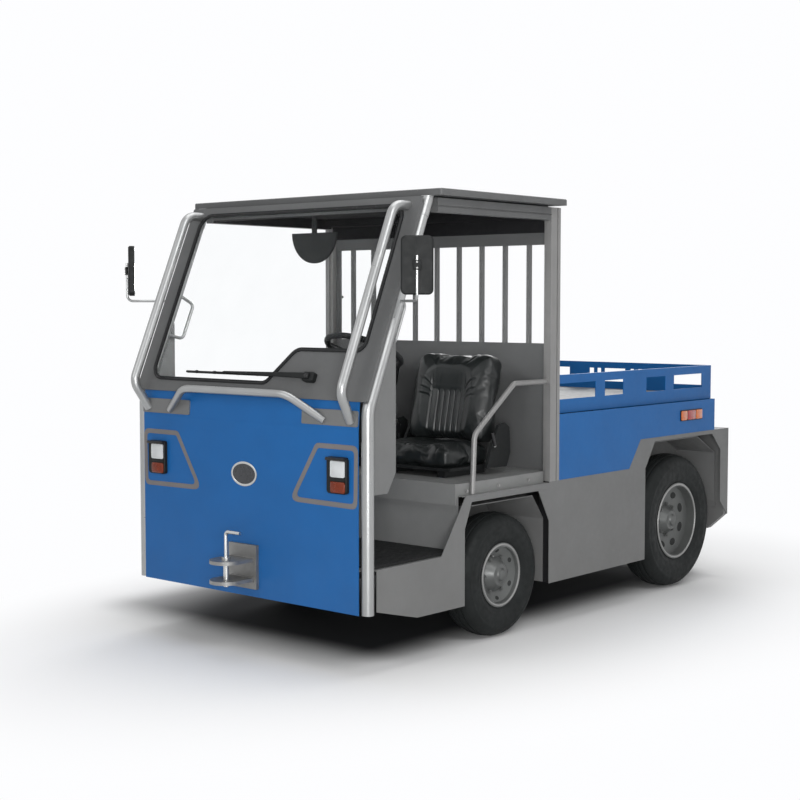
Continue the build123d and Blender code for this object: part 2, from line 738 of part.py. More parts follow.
def seats():
    """Two low-back seats: cushions, backs, and the pans and rails under them."""
    with BuildPart() as cushions:
        with BuildSketch(Plane.XY.offset(CUSHION_BOTTOM)):
            with Locations((SEAT_X, station(CUSHION_FRONT + CUSHION_DEPTH / 2))):
                RectangleRounded(CUSHION_W, CUSHION_DEPTH, CUSHION_W * 0.14)
        extrude(amount=CUSHION_T)
        chamfer(cushions.faces().sort_by(Axis.Z)[-1].edges(), CUSHION_T * 0.2)
        mirror(about=Plane.YZ)
    save(cushions.part, "seat_cushions")

    lean = radians(BACK_RECLINE)
    back_plane = Plane(
        origin=(SEAT_X, station(BACK_FOOT), CUSHION_BOTTOM + CUSHION_T),
        x_dir=(1, 0, 0), z_dir=(0, -cos(lean), sin(lean)),
    )
    half = SEAT_W / 2
    corner = SEAT_W * 0.13
    back_outline = [
        (-half * 0.94, 0), (half * 0.94, 0), (half, BACK_H * 0.45), (half * 0.96, BACK_H),
        (-half * 0.96, BACK_H), (-half, BACK_H * 0.45),
    ]
    panel = [
        # x, distance ahead of the back plane: the hollow between the bolsters
        (-half + BOLSTER_W * 0.6, BOLSTER + 1), (-half + BOLSTER_W * 1.5, 0),
        (half - BOLSTER_W * 1.5, 0), (half - BOLSTER_W * 0.6, BOLSTER + 1),
    ]
    with BuildPart() as backs:
        with BuildSketch(back_plane.offset(BOLSTER)) as face:
            Polygon(*back_outline, align=None)
            fillet(face.vertices().sort_by(Axis.Y)[-2:], corner)
        extrude(amount=-BACK_T - BOLSTER)
        across = Plane(back_plane.origin, x_dir=(1, 0, 0), z_dir=-back_plane.y_dir)
        with BuildSketch(across.offset(BACK_H * 0.1)):
            Polygon(*panel, align=None)
        extrude(amount=-BACK_H * 0.92, mode=Mode.SUBTRACT)
        split(
            bisect_by=Plane.XY.offset(CUSHION_BOTTOM + CUSHION_T + BACK_GAP), keep=Keep.TOP
        )
        mirror(about=Plane.YZ)
    save(backs.part, "seat_backs")

    rail_y = station(CUSHION_FRONT + 40)
    rail_length = CUSHION_DEPTH - 60
    bracket = [
        # station, height of the side cover that carries the back
        (BACK_FOOT - 30, PLATFORM_TOP + 32), (BACK_FOOT + 130, PLATFORM_TOP + 32),
        (BACK_FOOT + 158, 862), (BACK_FOOT + 150, 985), (BACK_FOOT + 118, 1008),
        (BACK_FOOT + 66, 1000), (BACK_FOOT + 10, 905),
    ]
    with BuildPart() as bases:
        with Locations(
            (SEAT_X - 170, rail_y, PLATFORM_TOP), (SEAT_X + 170, rail_y, PLATFORM_TOP)
        ):
            Box(44, rail_length, 32, align=(Align.CENTER, Align.MIN, Align.MIN))
        with Locations((SEAT_X, station(CUSHION_FRONT + 22), PLATFORM_TOP + 32)):
            Box(
                SEAT_W - 30, CUSHION_DEPTH - 36, CUSHION_BOTTOM - PLATFORM_TOP - 32 - SEAM,
                align=(Align.CENTER, Align.MIN, Align.MIN),
            )
        for edge in (SEAT_X - SEAT_W / 2 - 30, SEAT_X + SEAT_W / 2 + 14):
            with BuildSketch(side_plane(edge)):
                Polygon(*outline(bracket), align=None)
            extrude(amount=16)
        with Locations((SEAT_X, station(BACK_FOOT), PLATFORM_TOP + 32)):
            Box(
                SEAT_W + 60, 40, CUSHION_BOTTOM - PLATFORM_TOP - 32 - SEAM,
                align=(Align.CENTER, Align.MIN, Align.MIN),
            )
        mirror(about=Plane.YZ)
    save(bases.part, "seat_bases")


WHEEL_STATION = 450.0
WHEEL_Z = 1368.0
WHEEL_TILT = 25.0
WHEEL_R = 190.0
WHEEL_RIM_R = 14.0
COLUMN_R = 24.0
HUB_DROP = 56.0


def steering_axis():
    """Unit vector up the steering column, toward the driver."""
    tilt = radians(WHEEL_TILT)
    return Vector(0, sin(tilt), cos(tilt))


def hub_plane(drop):
    """A plane square to the column, this far below the steering wheel's rim."""
    up = steering_axis()
    centre = Vector(SEAT_X, station(WHEEL_STATION), WHEEL_Z) - up * drop
    return Plane(origin=centre, x_dir=(1, 0, 0), z_dir=up)


def dashboard():
    """Dash shelf with the steering console and column."""
    shelf_top = COWL_TOP - 12
    cowl_station = SKIN + COWL_LEAN * (shelf_top - FOLD_Z) / (COWL_TOP - FOLD_Z)
    shelf = outline([
        (SKIN, 1000), (16, 1000), (60, 1060), (250, 1110), (250, 1150),
        (cowl_station, shelf_top), (SKIN, FOLD_Z),
    ])
    console = outline([
        (30, 1100), (320, 1100), (350, 1190), (300, 1262), (120, 1330), (92, 1262),
    ])
    with BuildPart() as dash:
        with BuildSketch(side_plane(-POST_X + POST_D / 2 + 1)):
            Polygon(*shelf, align=None)
        extrude(amount=2 * (POST_X - POST_D / 2 - 1))
        with BuildSketch(side_plane(SEAT_X - 190)):
            Polygon(*console, align=None)
        extrude(amount=380)
        with BuildSketch(hub_plane(HUB_DROP + SEAM)):
            Circle(COLUMN_R)
        extrude(amount=-160)
    save(dash.part, "dashboard")


def steering_wheel():
    """Steering wheel: rim, three spokes and a domed hub."""
    plane = hub_plane(0)
    with BuildPart() as wheel:
        with BuildSketch(Plane(plane.origin, x_dir=(1, 0, 0), z_dir=plane.y_dir)):
            with Locations((WHEEL_R - WHEEL_RIM_R, 0)):
                RegularPolygon(WHEEL_RIM_R, 8)
        revolve(axis=Axis(plane.origin, plane.z_dir))
        with BuildSketch(plane.offset(-48)):
            Circle(46)
        extrude(amount=40, taper=14)
        for angle in (90, 210, 330):
            swing = radians(angle)
            out = plane.x_dir * cos(swing) + plane.y_dir * sin(swing)
            root = plane.origin + out * 20 - plane.z_dir * 30
            tip = plane.origin + out * (WHEEL_R - WHEEL_RIM_R)
            along = tip - root
            with BuildSketch(Plane(origin=root, x_dir=plane.z_dir.cross(along), z_dir=along)):
                RectangleRounded(34, 8, 3)
            extrude(amount=along.length)
        with BuildSketch(plane.offset(-48)):
            Circle(COLUMN_R - 4)
        extrude(amount=48 - HUB_DROP)
    save(wheel.part, "steering_wheel")


def pedals():
    """Brake and drive pedals standing on the footwell floor."""
    with BuildPart() as pair:
        for x, width in ((SEAT_X - 90, 70), (SEAT_X + 70, 90)):
            with BuildSketch(side_plane(x - width / 2)):
                Polygon(
                    *outline([(150, 560), (158, 552), (238, 640), (230, 648)]), align=None
                )
            extrude(amount=width)
            with BuildSketch(side_plane(x - 8)):
                Polygon(
                    *outline([
                        (150, FLOOR_TOP + MAT_T), (185, FLOOR_TOP + MAT_T),
                        (200, 597), (180, 575),
                    ]),
                    align=None,
                )
            extrude(amount=16)
    save(pair.part, "pedals")


def front_skirts():
    """Grey front side plates, from the corner post to the rear post."""
    shape = outline([
        (POST_STATION + POST_D / 2 + SEAM, 276), (325, SKIRT_BOTTOM + 2),
        (FRONT_ARCH[0][0], SKIRT_BOTTOM), FRONT_ARCH[1], FRONT_ARCH[2],
        (FRONT_ARCH[4][0], STRIP_Z), (FRONT_ARCH[4][0], SILL_LEDGE),
        (669, SILL_LEDGE), (493, FLOOR_TOP + 2),
        (POST_STATION + POST_D / 2 + SEAM, FLOOR_TOP + 2),
    ])
    with BuildPart() as skirts:
        with BuildSketch(side_plane(SKIN_X)):
            Polygon(*shape, align=None)
        extrude(amount=SKIN)
        mirror(about=Plane.YZ)
    save(skirts.part, "front_skirts")


def leg_shields():
    """Plates beside the driver's legs, behind the corner posts."""
    root = POST_STATION + POST_D / 2 + SEAM
    shape = outline([
        (root, 772), (162, 772), (215, 860), (215, 1488), (root + 7, POST_KINK_Z),
    ])
    with BuildPart() as shields:
        with BuildSketch(side_plane(POST_X - 7)):
            Polygon(*shape, align=None)
        extrude(amount=SKIN)
        mirror(about=Plane.YZ)
    save(shields.part, "leg_shields")


def wheel_wells():
    """Bent wheel housings behind the arches, closed on their inboard side."""
    wells = [
        # inner face, inboard x, axle station, half length and top of the axle's slot
        (FRONT_WELL, FRONT_WELL_X, FRONT_AXLE, 75, 400),
        (REAR_WELL, REAR_WELL_X, REAR_AXLE, 75, 560),
    ]
    with BuildPart() as housings:
        for face, inboard, axle, slot_half, slot_top in wells:
            band = bent_plate(face, WELL_WALL)
            with BuildSketch(side_plane(inboard)):
                Polygon(*outline(band), align=None)
            extrude(amount=SIDE_X - WELL_SETBACK - inboard)
            with BuildSketch(side_plane(inboard)):
                Polygon(*outline(band[len(face):]), align=None)
            extrude(amount=-WELL_WALL)
            with Locations((inboard - WELL_WALL / 2, station(axle), 0)):
                Box(
                    2 * WELL_WALL, 2 * slot_half, slot_top,
                    align=(Align.CENTER, Align.CENTER, Align.MIN), mode=Mode.SUBTRACT,
                )
        mirror(about=Plane.YZ)
    save(housings.part, "wheel_wells")


def side_panels():
    """Grey lower side plates from the rear post to the tail, round the rear arch."""
    front, front_high, top_front, top_rear, rear_high, rear = REAR_ARCH
    mid_bottom = SKIRT_BOTTOM + 8
    shape = outline([
        (FRONT_ARCH[3][0], STRIP_Z - SEAM),
        (FRONT_ARCH[4][0], FRONT_ARCH[4][1]), (FRONT_ARCH[4][0], mid_bottom),
        (front[0], mid_bottom), front_high, top_front, top_rear, rear_high, rear,
        TAIL_CORNER, (BODY_LENGTH, TAIL_TIP_Z), (BODY_LENGTH, FENDER_TOP),
        (REAR_AXLE - 475, FENDER_TOP), (REAR_AXLE - 587, BLUE_BOTTOM),
        (FRONT_ARCH[4][0] + SEAM, BLUE_BOTTOM),
        (FRONT_ARCH[4][0] + SEAM, STRIP_Z - SEAM),
    ])
    with BuildPart() as panels:
        with BuildSketch(side_plane(SKIN_X)):
            Polygon(*shape, align=None)
        extrude(amount=SKIN)
        mirror(about=Plane.YZ)
    save(panels.part, "side_panels")


def body_sides():
    """Blue body sides above the grey plates."""
    shape = outline([
        (TRAY_FRONT, BLUE_BOTTOM + SEAM), (REAR_AXLE - 587 - SEAM, BLUE_BOTTOM + SEAM),
        (REAR_AXLE - 475 - SEAM, FENDER_TOP + SEAM), (TRAY_REAR, FENDER_TOP + SEAM),
        (TRAY_REAR, TRAY_SEAM), (TRAY_FRONT, TRAY_SEAM),
    ])
    with BuildPart() as sides:
        with BuildSketch(side_plane(SKIN_X)):
            Polygon(*shape, align=None)
        extrude(amount=SKIN)
        mirror(about=Plane.YZ)
    save(sides.part, "body_sides")


TRAY_X = SIDE_X - TRAY_INSET
DECK_T = 30.0
TRAY_LENGTH = TRAY_REAR - TRAY_FRONT
SLOT_BOTTOM = TRAY_SEAM + 69.0
SLOT_TOP = TRAY_TOP - 43.0
SIDE_SLOTS = [
    # share of the board's length at the slot's middle, length as such a share
    (0.1268, 0.2119), (0.3455, 0.1143), (0.6132, 0.1278), (0.8345, 0.2035),
]
TAIL_SLOTS = [
    # share of the board's half width at the slot's middle, length as such a share
    (-0.578, 0.486), (-0.113, 0.044), (-0.039, 0.037), (0.115, 0.201),
    (0.282, 0.032), (0.359, 0.039), (0.799, 0.249),
]


def tray():
    """Load tray: deck, slotted side boards and slotted tail board."""
    deck_rear = TRAY_REAR - SKIN - SEAM
    with BuildPart() as deck:
        with Locations((0, station(TRAY_FRONT), TRAY_SEAM + SEAM)):
            Box(
                2 * (TRAY_X - SKIN - SEAM), deck_rear - TRAY_FRONT, DECK_T,
                align=(Align.CENTER, Align.MIN, Align.MIN),
            )
    save(deck.part, "deck")

    board_plane = side_plane(TRAY_X - SKIN)
    slot_z = (SLOT_BOTTOM + SLOT_TOP) / 2
    slot_h = SLOT_TOP - SLOT_BOTTOM
    with BuildPart() as boards:
        with BuildSketch(board_plane):
            Polygon(
                *outline([
                    (TRAY_FRONT, TRAY_SEAM + SEAM), (TRAY_REAR, TRAY_SEAM + SEAM),
                    (TRAY_REAR, TRAY_TOP), (TRAY_FRONT, TRAY_TOP),
                ]),
                align=None,
            )
            for middle, length in SIDE_SLOTS:
                with Locations((station(TRAY_FRONT + middle * TRAY_LENGTH), slot_z)):
                    Rectangle(length * TRAY_LENGTH, slot_h, mode=Mode.SUBTRACT)
        extrude(amount=SKIN)
        with Locations((TRAY_X - SKIN, station(TRAY_FRONT), TRAY_TOP)):
            Box(
                14, TRAY_REAR - SKIN - SEAM - TRAY_FRONT, SKIN,
                align=(Align.MAX, Align.MIN, Align.MAX),
            )
        mirror(about=Plane.YZ)
    save(boards.part, "tray_sides")

    half = TRAY_X - SKIN - SEAM
    with BuildPart() as tail:
        with BuildSketch(Plane.XZ.offset(-station(TRAY_REAR))):
            Polygon(
                (-half, TRAY_SEAM + SEAM), (half, TRAY_SEAM + SEAM), (half, TRAY_TOP),
                (-half, TRAY_TOP), align=None,
            )
            with Locations((0, (FENDER_TOP + TRAY_SEAM) / 2)):
                Rectangle(2 * (SKIN_X - SEAM), TRAY_SEAM - FENDER_TOP - 2 * SEAM)
            with Locations((0, TRAY_SEAM)):
                Rectangle(2 * half, 4)
            for middle, length in TAIL_SLOTS:
                with Locations((middle * half, slot_z + 6)):
                    Rectangle(length * half, slot_h, mode=Mode.SUBTRACT)
        extrude(amount=SKIN)
    save(tail.part, "tail_board")


def rear_bumper():
    """Heavy tail plate with chamfered lower corners, and the ledge over it."""
    half = SKIN_X - SEAM
    foot_half = half - 101
    ledge_t = 6.0
    with BuildPart() as bumper:
        with BuildSketch(Plane.XZ.offset(-station(BODY_LENGTH))):
            Polygon(
                (-foot_half, TAIL_BOTTOM), (foot_half, TAIL_BOTTOM), (half, TAIL_TIP_Z),
                (half, FENDER_TOP), (-half, FENDER_TOP), (-half, TAIL_TIP_Z), align=None,
            )
        extrude(amount=BUMPER_T)
        with Locations((0, station(TRAY_REAR - SKIN), FENDER_TOP)):
            Box(
                2 * half, BODY_LENGTH - TRAY_REAR + SKIN, ledge_t,
                align=(Align.CENTER, Align.MIN, Align.MAX),
            )
    save(bumper.part, "rear_bumper")


def hitch(name, face_station, direction):
    """A hitch: back plate with two round-nosed ears, bored for the drop pin."""
    face = station(face_station)
    pin_y = face + direction * HITCH_PIN_REACH
    nose_r = HITCH_REACH - HITCH_PIN_REACH
    plate_bottom, plate_top = HITCH_PLATE_Z
    inner_y = face + direction * HITCH_PLATE_T
    with BuildPart() as body:
        with Locations((0, (face + inner_y) / 2, (plate_bottom + plate_top) / 2)):
            Box(HITCH_PLATE_W, HITCH_PLATE_T, plate_top - plate_bottom)
        for ear_z in EAR_Z:
            with BuildSketch(Plane.XY.offset(ear_z - EAR_T / 2)):
                with Locations((0, pin_y)):
                    Circle(nose_r)
                with Locations((0, (pin_y + inner_y) / 2)):
                    Rectangle(2 * nose_r, abs(pin_y - inner_y))
                with Locations((0, pin_y)):
                    Circle(HITCH_PIN_R + RUNNING_GAP * 2, mode=Mode.SUBTRACT)
            extrude(amount=EAR_T)
    save(body.part, name)


def hitch_pin(name, face_station, direction):
    """Drop pin with a collar and a handle bent sideways."""
    pin_y = station(face_station) + direction * HITCH_PIN_REACH
    foot_z = EAR_Z[0] - EAR_T / 2 - 18
    collar_z = EAR_Z[1] + EAR_T / 2 + 0.3
    handle_z = 567.0
    rod_r = 8.0
    with BuildPart() as pin:
        with BuildSketch(Plane.XY.offset(foot_z)):
            with Locations((0, pin_y)):
                Circle(HITCH_PIN_R)
        extrude(amount=collar_z + 10 - foot_z)
        chamfer(pin.faces().sort_by(Axis.Z)[0].edges(), 3)
        with BuildSketch(Plane.XY.offset(collar_z)):
            with Locations((0, pin_y)):
                Circle(20)
        extrude(amount=12)
        with BuildLine() as bent:
            FilletPolyline(
                (0, pin_y, collar_z + 5), (0, pin_y, handle_z), (92, pin_y, handle_z),
                radius=16,
            )
        with BuildSketch(Plane(bent.line @ 0, z_dir=(0, 0, 1))):
            RegularPolygon(rod_r, ROD_SIDES)
        sweep(path=bent.wires()[0])
    save(pin.part, name)


def front_axle():
    """Fixed front axle beam with a kingpin eye at each end."""
    y = station(FRONT_AXLE)
    z = FRONT_TYRE_R
    with BuildPart() as beam:
        with Locations((0, y, z)):
            Box(2 * KINGPIN_X, 54, AXLE_EYE_H)
        for x in (-KINGPIN_X, KINGPIN_X):
            with Locations((x, y, z)):
                Cylinder(AXLE_EYE_R, AXLE_EYE_H)
        for x in (-KINGPIN_X, KINGPIN_X):
            with Locations((x, y, z)):
                Cylinder(KINGPIN_R + RUNNING_GAP, AXLE_EYE_H, mode=Mode.SUBTRACT)
    save(beam.part, "front_axle")


def knuckle(name, side):
    """Steering knuckle: fork, kingpin, spindle and steering arm."""
    y = station(FRONT_AXLE)
    z = FRONT_TYRE_R
    x = side * KINGPIN_X
    web_in = AXLE_EYE_R + 3
    web_t = 12.0
    fork_bottom = AXLE_EYE_H / 2 + FORK_GAP
    fork_h = 2 * (fork_bottom + FORK_T)
    spindle_end = FRONT_SPINDLE_X
    with BuildPart() as forged:
        for low in (fork_bottom, -fork_bottom - FORK_T):
            with BuildSketch(Plane.XY.offset(z + low)):
                with Locations((x, y)):
                    Circle(AXLE_EYE_R)
                with Locations((x + side * (web_in + web_t) / 2, y)):
                    Rectangle(web_in + web_t, 2 * AXLE_EYE_R)
            extrude(amount=FORK_T)
        with Locations((x + side * (web_in + web_t / 2), y, z)):
            Box(web_t, 2 * AXLE_EYE_R, fork_h)
        with Locations((x, y, z)):
            Cylinder(KINGPIN_R, fork_h)
        with BuildSketch(Plane.XY.offset(z - fork_bottom - FORK_T)):
            Polygon(
                (x - side * 20, y), (x - side * 8, y + 20),
                (x - side * (ARM_SIDE - 15), y + ARM_LONG),
                (x - side * (ARM_SIDE + 15), y + ARM_LONG), (x - side * 27, y + 10),
                align=None,
            )
            with Locations((x - side * ARM_SIDE, y + ARM_LONG)):
                Circle(15)
        extrude(amount=FORK_T)
        with BuildSketch(Plane.YZ.offset(x + side * (web_in + web_t))) as root:
            with Locations((y, z)):
                Circle(SPINDLE_R)
        extrude(amount=side * (spindle_end - KINGPIN_X - web_in - web_t))
    save(forged.part, name)


def tie_rod():
    """Tie rod hung just under the two steering arms."""
    y = station(FRONT_AXLE) + ARM_LONG
    arm_bottom = FRONT_TYRE_R - AXLE_EYE_H / 2 - FORK_GAP - FORK_T
    half = KINGPIN_X - ARM_SIDE
    with BuildPart() as rod:
        with BuildSketch(Plane.YZ.offset(-half)):
            with Locations((y, arm_bottom - 1 - TIE_ROD_R - 2)):
                Circle(TIE_ROD_R)
        extrude(amount=2 * half)
        for x in (-half, half):
            with Locations((x, y, arm_bottom - 0.6)):
                Cylinder(17, 2 * TIE_ROD_R + 5, align=(Align.CENTER, Align.CENTER, Align.MAX))
    save(rod.part, "tie_rod")


GEAR_CASE_R = 125.0


def rear_axle():
    """Drive axle: tubes, gear case and the drive motor before it."""
    y = station(REAR_AXLE)
    z = REAR_TYRE_R
    with BuildPart() as axle:
        with Locations((0, y, z)):
            Cylinder(52, 2 * 470, rotation=(0, 90, 0))
            Cylinder(SPINDLE_R, 2 * REAR_SPINDLE_X, rotation=(0, 90, 0))
            Cylinder(GEAR_CASE_R, 130, rotation=(0, 90, 0))
        with Locations((0, y - 300, z)):
            Cylinder(105, 400, rotation=(90, 0, 0))
        for x in (-470, 470):
            with Locations((x, y, z)):
                Cylinder(80, 20, rotation=(0, 90, 0))
    save(axle.part, "rear_axle")


def springs():
    """Leaf spring packs between the axles and the chassis rails."""
    packs = [
        # axle station, top of the axle, underside of the rail, half length
        (FRONT_AXLE, FRONT_TYRE_R + AXLE_EYE_H / 2, REAR_RAIL_TOP - RAIL_H, 225),
        (REAR_AXLE, REAR_TYRE_R + 52, REAR_RAIL_TOP - RAIL_H, 300),
    ]
    leaf = 9.0
    with BuildPart() as leaves:
        for axle, low, high, half in packs:
            seat_top = low + 0.3 + 3 * leaf
            with BuildSketch(side_plane(RAIL_X - 25)):
                with BuildLine():
                    lower = ThreePointArc(
                        (station(axle - half), high - 0.5 - leaf * 1.4),
                        (station(axle), low + 0.3),
                        (station(axle + half), high - 0.5 - leaf * 1.4),
                    )
                    end = Line(lower @ 1, (station(axle + half), high - 0.5))
                    upper = ThreePointArc(
                        end @ 1, (station(axle), seat_top), (station(axle - half), high - 0.5)
                    )
                    Line(upper @ 1, lower @ 0)
                make_face()
            extrude(amount=50)
        mirror(about=Plane.YZ)
    save(leaves.part, "springs")


def battery():
    """Traction battery as one block on the chassis rails."""
    front = TRAY_FRONT + 18.5
    rear = REAR_AXLE - 477
    bottom = REAR_RAIL_TOP + SEAM
    with BuildPart() as block:
        with Locations((0, station(front), bottom)):
            Box(
                2 * (REAR_WELL_X - 2), rear - front, TRAY_SEAM - 17.5 - bottom,
                align=(Align.CENTER, Align.MIN, Align.MIN),
            )
    save(block.part, "battery")


def cab_mirror():
    """Half-round inner mirror hung from the roof's front beam."""
    y = station(BEAM_FRONT + 8)
    top = ROOF_TOP - 170
    radius = 143.0
    with BuildPart() as mirror_plate:
        with BuildSketch(Plane.XZ.offset(-y)):
            with Locations((0, top)):
                Circle(radius)
            with Locations((0, top)):
                Rectangle(
                    2 * radius, radius, align=(Align.CENTER, Align.MIN), mode=Mode.SUBTRACT
                )
        extrude(amount=12)
        with Locations((0, y - 6, top - 12)):
            Box(24, 12, BEAM_TOP - 50 - top + 11.5, align=(Align.CENTER, Align.CENTER, Align.MIN))
    save(mirror_plate.part, "cab_mirror")


def wiper():
    """Windscreen wiper parked along the bottom of the glass."""
    face = SCREEN.offset(SHEET_PROUD + SHEET_T)
    height = screen_height(1262, SHEET_PROUD + SHEET_T)
    with BuildPart() as arm:
        with BuildSketch(face.offset(0.3)):
            with Locations((400, height)):
                RectangleRounded(90, 46, 10)
        extrude(amount=40)
        with BuildSketch(face.offset(22)):
            with Locations((20, height)):
                RectangleRounded(700, 16, 5)
        extrude(amount=12)
        with BuildSketch(face.offset(9)):
            with Locations((-130, height)):
                RectangleRounded(560, 10, 4)
        extrude(amount=14)
    save(arm.part, "wiper")


FRONT_WHEEL_X = TYRE_FACE_X - FRONT_TYRE_HALF
REAR_WHEEL_X = TYRE_FACE_X - REAR_TYRE_HALF
FRONT_SPINDLE_X = FRONT_WHEEL_X + 62
REAR_SPINDLE_X = REAR_WHEEL_X + 40

WHEELS = [
    # name, side, station, wheel centre x, outer r, half width, rim r, rim half width, dish
    ("front_left", 1, FRONT_AXLE, FRONT_WHEEL_X, FRONT_TYRE_R, FRONT_TYRE_HALF,
     FRONT_RIM_R, FRONT_RIM_HALF, 42),
    ("front_right", -1, FRONT_AXLE, FRONT_WHEEL_X, FRONT_TYRE_R, FRONT_TYRE_HALF,
     FRONT_RIM_R, FRONT_RIM_HALF, 42),
    ("rear_left", 1, REAR_AXLE, REAR_WHEEL_X, REAR_TYRE_R, REAR_TYRE_HALF,
     REAR_RIM_R, REAR_RIM_HALF, 20),
    ("rear_right", -1, REAR_AXLE, REAR_WHEEL_X, REAR_TYRE_R, REAR_TYRE_HALF,
     REAR_RIM_R, REAR_RIM_HALF, 20),
]


def wheel(name, side, axle, centre_x, outer_r, half, rim_r, rim_half, dish):
    """A tyre and its dished steel disc rim, each its own piece."""
    centre = (side * centre_x, station(axle), outer_r)
    plane = Plane(origin=centre, x_dir=(side, 0, 0), z_dir=(0, 0, side))
    axis = Axis(centre, (1, 0, 0))
    tread_half = 0.64 * half
    mid_r = (rim_r + outer_r) / 2
    with BuildPart() as tyre:
        with BuildSketch(plane):
            Polygon(
                (-rim_half, rim_r), (rim_half, rim_r), (half, mid_r),
                (tread_half, outer_r), (-tread_half, outer_r), (-half, mid_r), align=None,
            )
        revolve(axis=axis)
    save(tyre.part, f"tyre_{name}")

    lip = 5.0
    well_r = rim_r - RIM_WALL
    hub_r = 62.0
    bore_r = SPINDLE_R + RUNNING_GAP
    disc_t = 9.0
    with BuildPart() as rim:
        with BuildSketch(plane):
            Polygon(
                (-rim_half - lip, rim_r + RIM_LIP), (-rim_half, rim_r), (rim_half, rim_r),
                (rim_half + lip, rim_r + RIM_LIP), (rim_half + lip, well_r),
                (dish + 14, well_r - 4), (dish - 12, hub_r + 22),
                (dish + 26, hub_r - 10), (dish + 30, bore_r), (dish - 12 - disc_t, bore_r),
                (dish - 12 - disc_t, well_r), (-rim_half - lip, well_r), align=None,
            )
        revolve(axis=axis)
    save(rim.part, f"rim_{name}")


def main():
    """Build every piece in order, from the chassis outwards."""
    frame()
    front_panel()
    headlamps()
    marker_lamps()
    corner_posts()
    mirrors()
    windscreen_guard()
    windscreen_frame()
    windscreen()
    roof_plate()
    roof_frame()
    rear_posts()
    rear_wall()
    window_bars()
    cab_floor()
    seat_platform()
    seats()
    dashboard()
    steering_wheel()
    pedals()
    front_skirts()
    leg_shields()
    wheel_wells()
    side_panels()
    body_sides()
    tray()
    rear_bumper()
    hitch("front_hitch", 0, -1)
    hitch("rear_hitch", BODY_LENGTH, 1)
    hitch_pin("front_hitch_pin", 0, -1)
    hitch_pin("rear_hitch_pin", BODY_LENGTH, 1)
    front_axle()
    knuckle("knuckle_left", 1)
    knuckle("knuckle_right", -1)
    tie_rod()
    rear_axle()
    springs()
    battery()
    cab_mirror()
    wiper()
    for row in WHEELS:
        wheel(*row)


main()
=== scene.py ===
"""Looks of the airport baggage tug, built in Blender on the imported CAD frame.

Metres. +Z is up, the front faces -Y and the vehicle's left side is +X.
A station is a distance behind the front panel's face.
"""
import functools
import json
import logging
import math
from dataclasses import dataclass
from enum import Enum
from typing import Iterable, Optional, Sequence

import bmesh
import bpy
from mathutils import Matrix, Vector


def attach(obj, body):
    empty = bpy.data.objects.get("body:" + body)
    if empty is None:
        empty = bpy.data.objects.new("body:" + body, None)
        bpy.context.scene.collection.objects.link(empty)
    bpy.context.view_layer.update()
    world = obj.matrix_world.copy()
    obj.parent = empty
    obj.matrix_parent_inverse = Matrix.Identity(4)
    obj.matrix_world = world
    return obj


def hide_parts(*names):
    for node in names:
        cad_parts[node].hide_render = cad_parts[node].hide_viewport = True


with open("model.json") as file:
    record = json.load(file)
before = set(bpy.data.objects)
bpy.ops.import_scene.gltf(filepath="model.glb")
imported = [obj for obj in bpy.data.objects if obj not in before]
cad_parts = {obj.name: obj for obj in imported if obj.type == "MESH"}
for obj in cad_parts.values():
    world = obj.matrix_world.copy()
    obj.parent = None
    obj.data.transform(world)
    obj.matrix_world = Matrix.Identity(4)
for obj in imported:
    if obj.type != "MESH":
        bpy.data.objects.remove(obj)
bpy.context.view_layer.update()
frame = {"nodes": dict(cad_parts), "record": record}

log = logging.getLogger("tug")
Point = Sequence[float]
Pair = tuple[float, float]
Socket = bpy.types.NodeSocket

# Driving dimensions, as in the part's source
BODY_LENGTH = 3.137
SIDE_X = 0.75
FRONT_Y = -BODY_LENGTH / 2
FOLD_Z = 1.050
COWL_TOP = 1.172
COWL_LEAN = 0.009
POST_X = 0.723
POST_R = 0.027
POST_KINK_Z = 1.140
POST_STATION = 0.030
POST_SLOPE = 0.396 / 0.920
POST_LEAN = math.atan(POST_SLOPE)
SHEET_BACK = 0.0427
SHEET_FRONT = SHEET_BACK + 0.004
SEAL_FRONT = SHEET_BACK + 0.009
OPENING_HALF = 0.664
OPENING_BOTTOM = 1.222
OPENING_TOP = 2.020
BEAM_TOP = 2.049
FLOOR_TOP = 0.455
MAT_TOP = FLOOR_TOP + 0.007
PLATFORM_TOP = 0.765
KICK_WALL = 0.657
TRAY_FRONT = 1.4115
TRAY_REAR = BODY_LENGTH - 0.168
FRONT_AXLE = 1.007
REAR_AXLE = 2.647
SEAT_X = 0.325
SIDES = (("left", 1), ("right", -1))


def y_at(station: float) -> float:
    """Y of a station.

    Args:
        station: distance behind the front panel's face, in metres.

    Returns:
        The Y coordinate in the shared frame.
    """
    return FRONT_Y + station


def post_station(z: float) -> float:
    """Station of a corner post's axis at height z, above its kink."""
    return POST_STATION + POST_SLOPE * (z - POST_KINK_Z)


class Slot(str, Enum):
    """The record's material slots."""

    BLUE = "blue_paint"
    GREY = "grey_paint"
    TUBE = "tube_steel"
    PLASTIC = "black_plastic"
    LENS = "lamp_lens"
    GLASS = "glass"
    RUBBER = "rubber"
    TYRE = "tyre"
    RIM = "rim_paint"
    VINYL = "vinyl"
    UNDER = "under_paint"
    STEEL = "forged_steel"


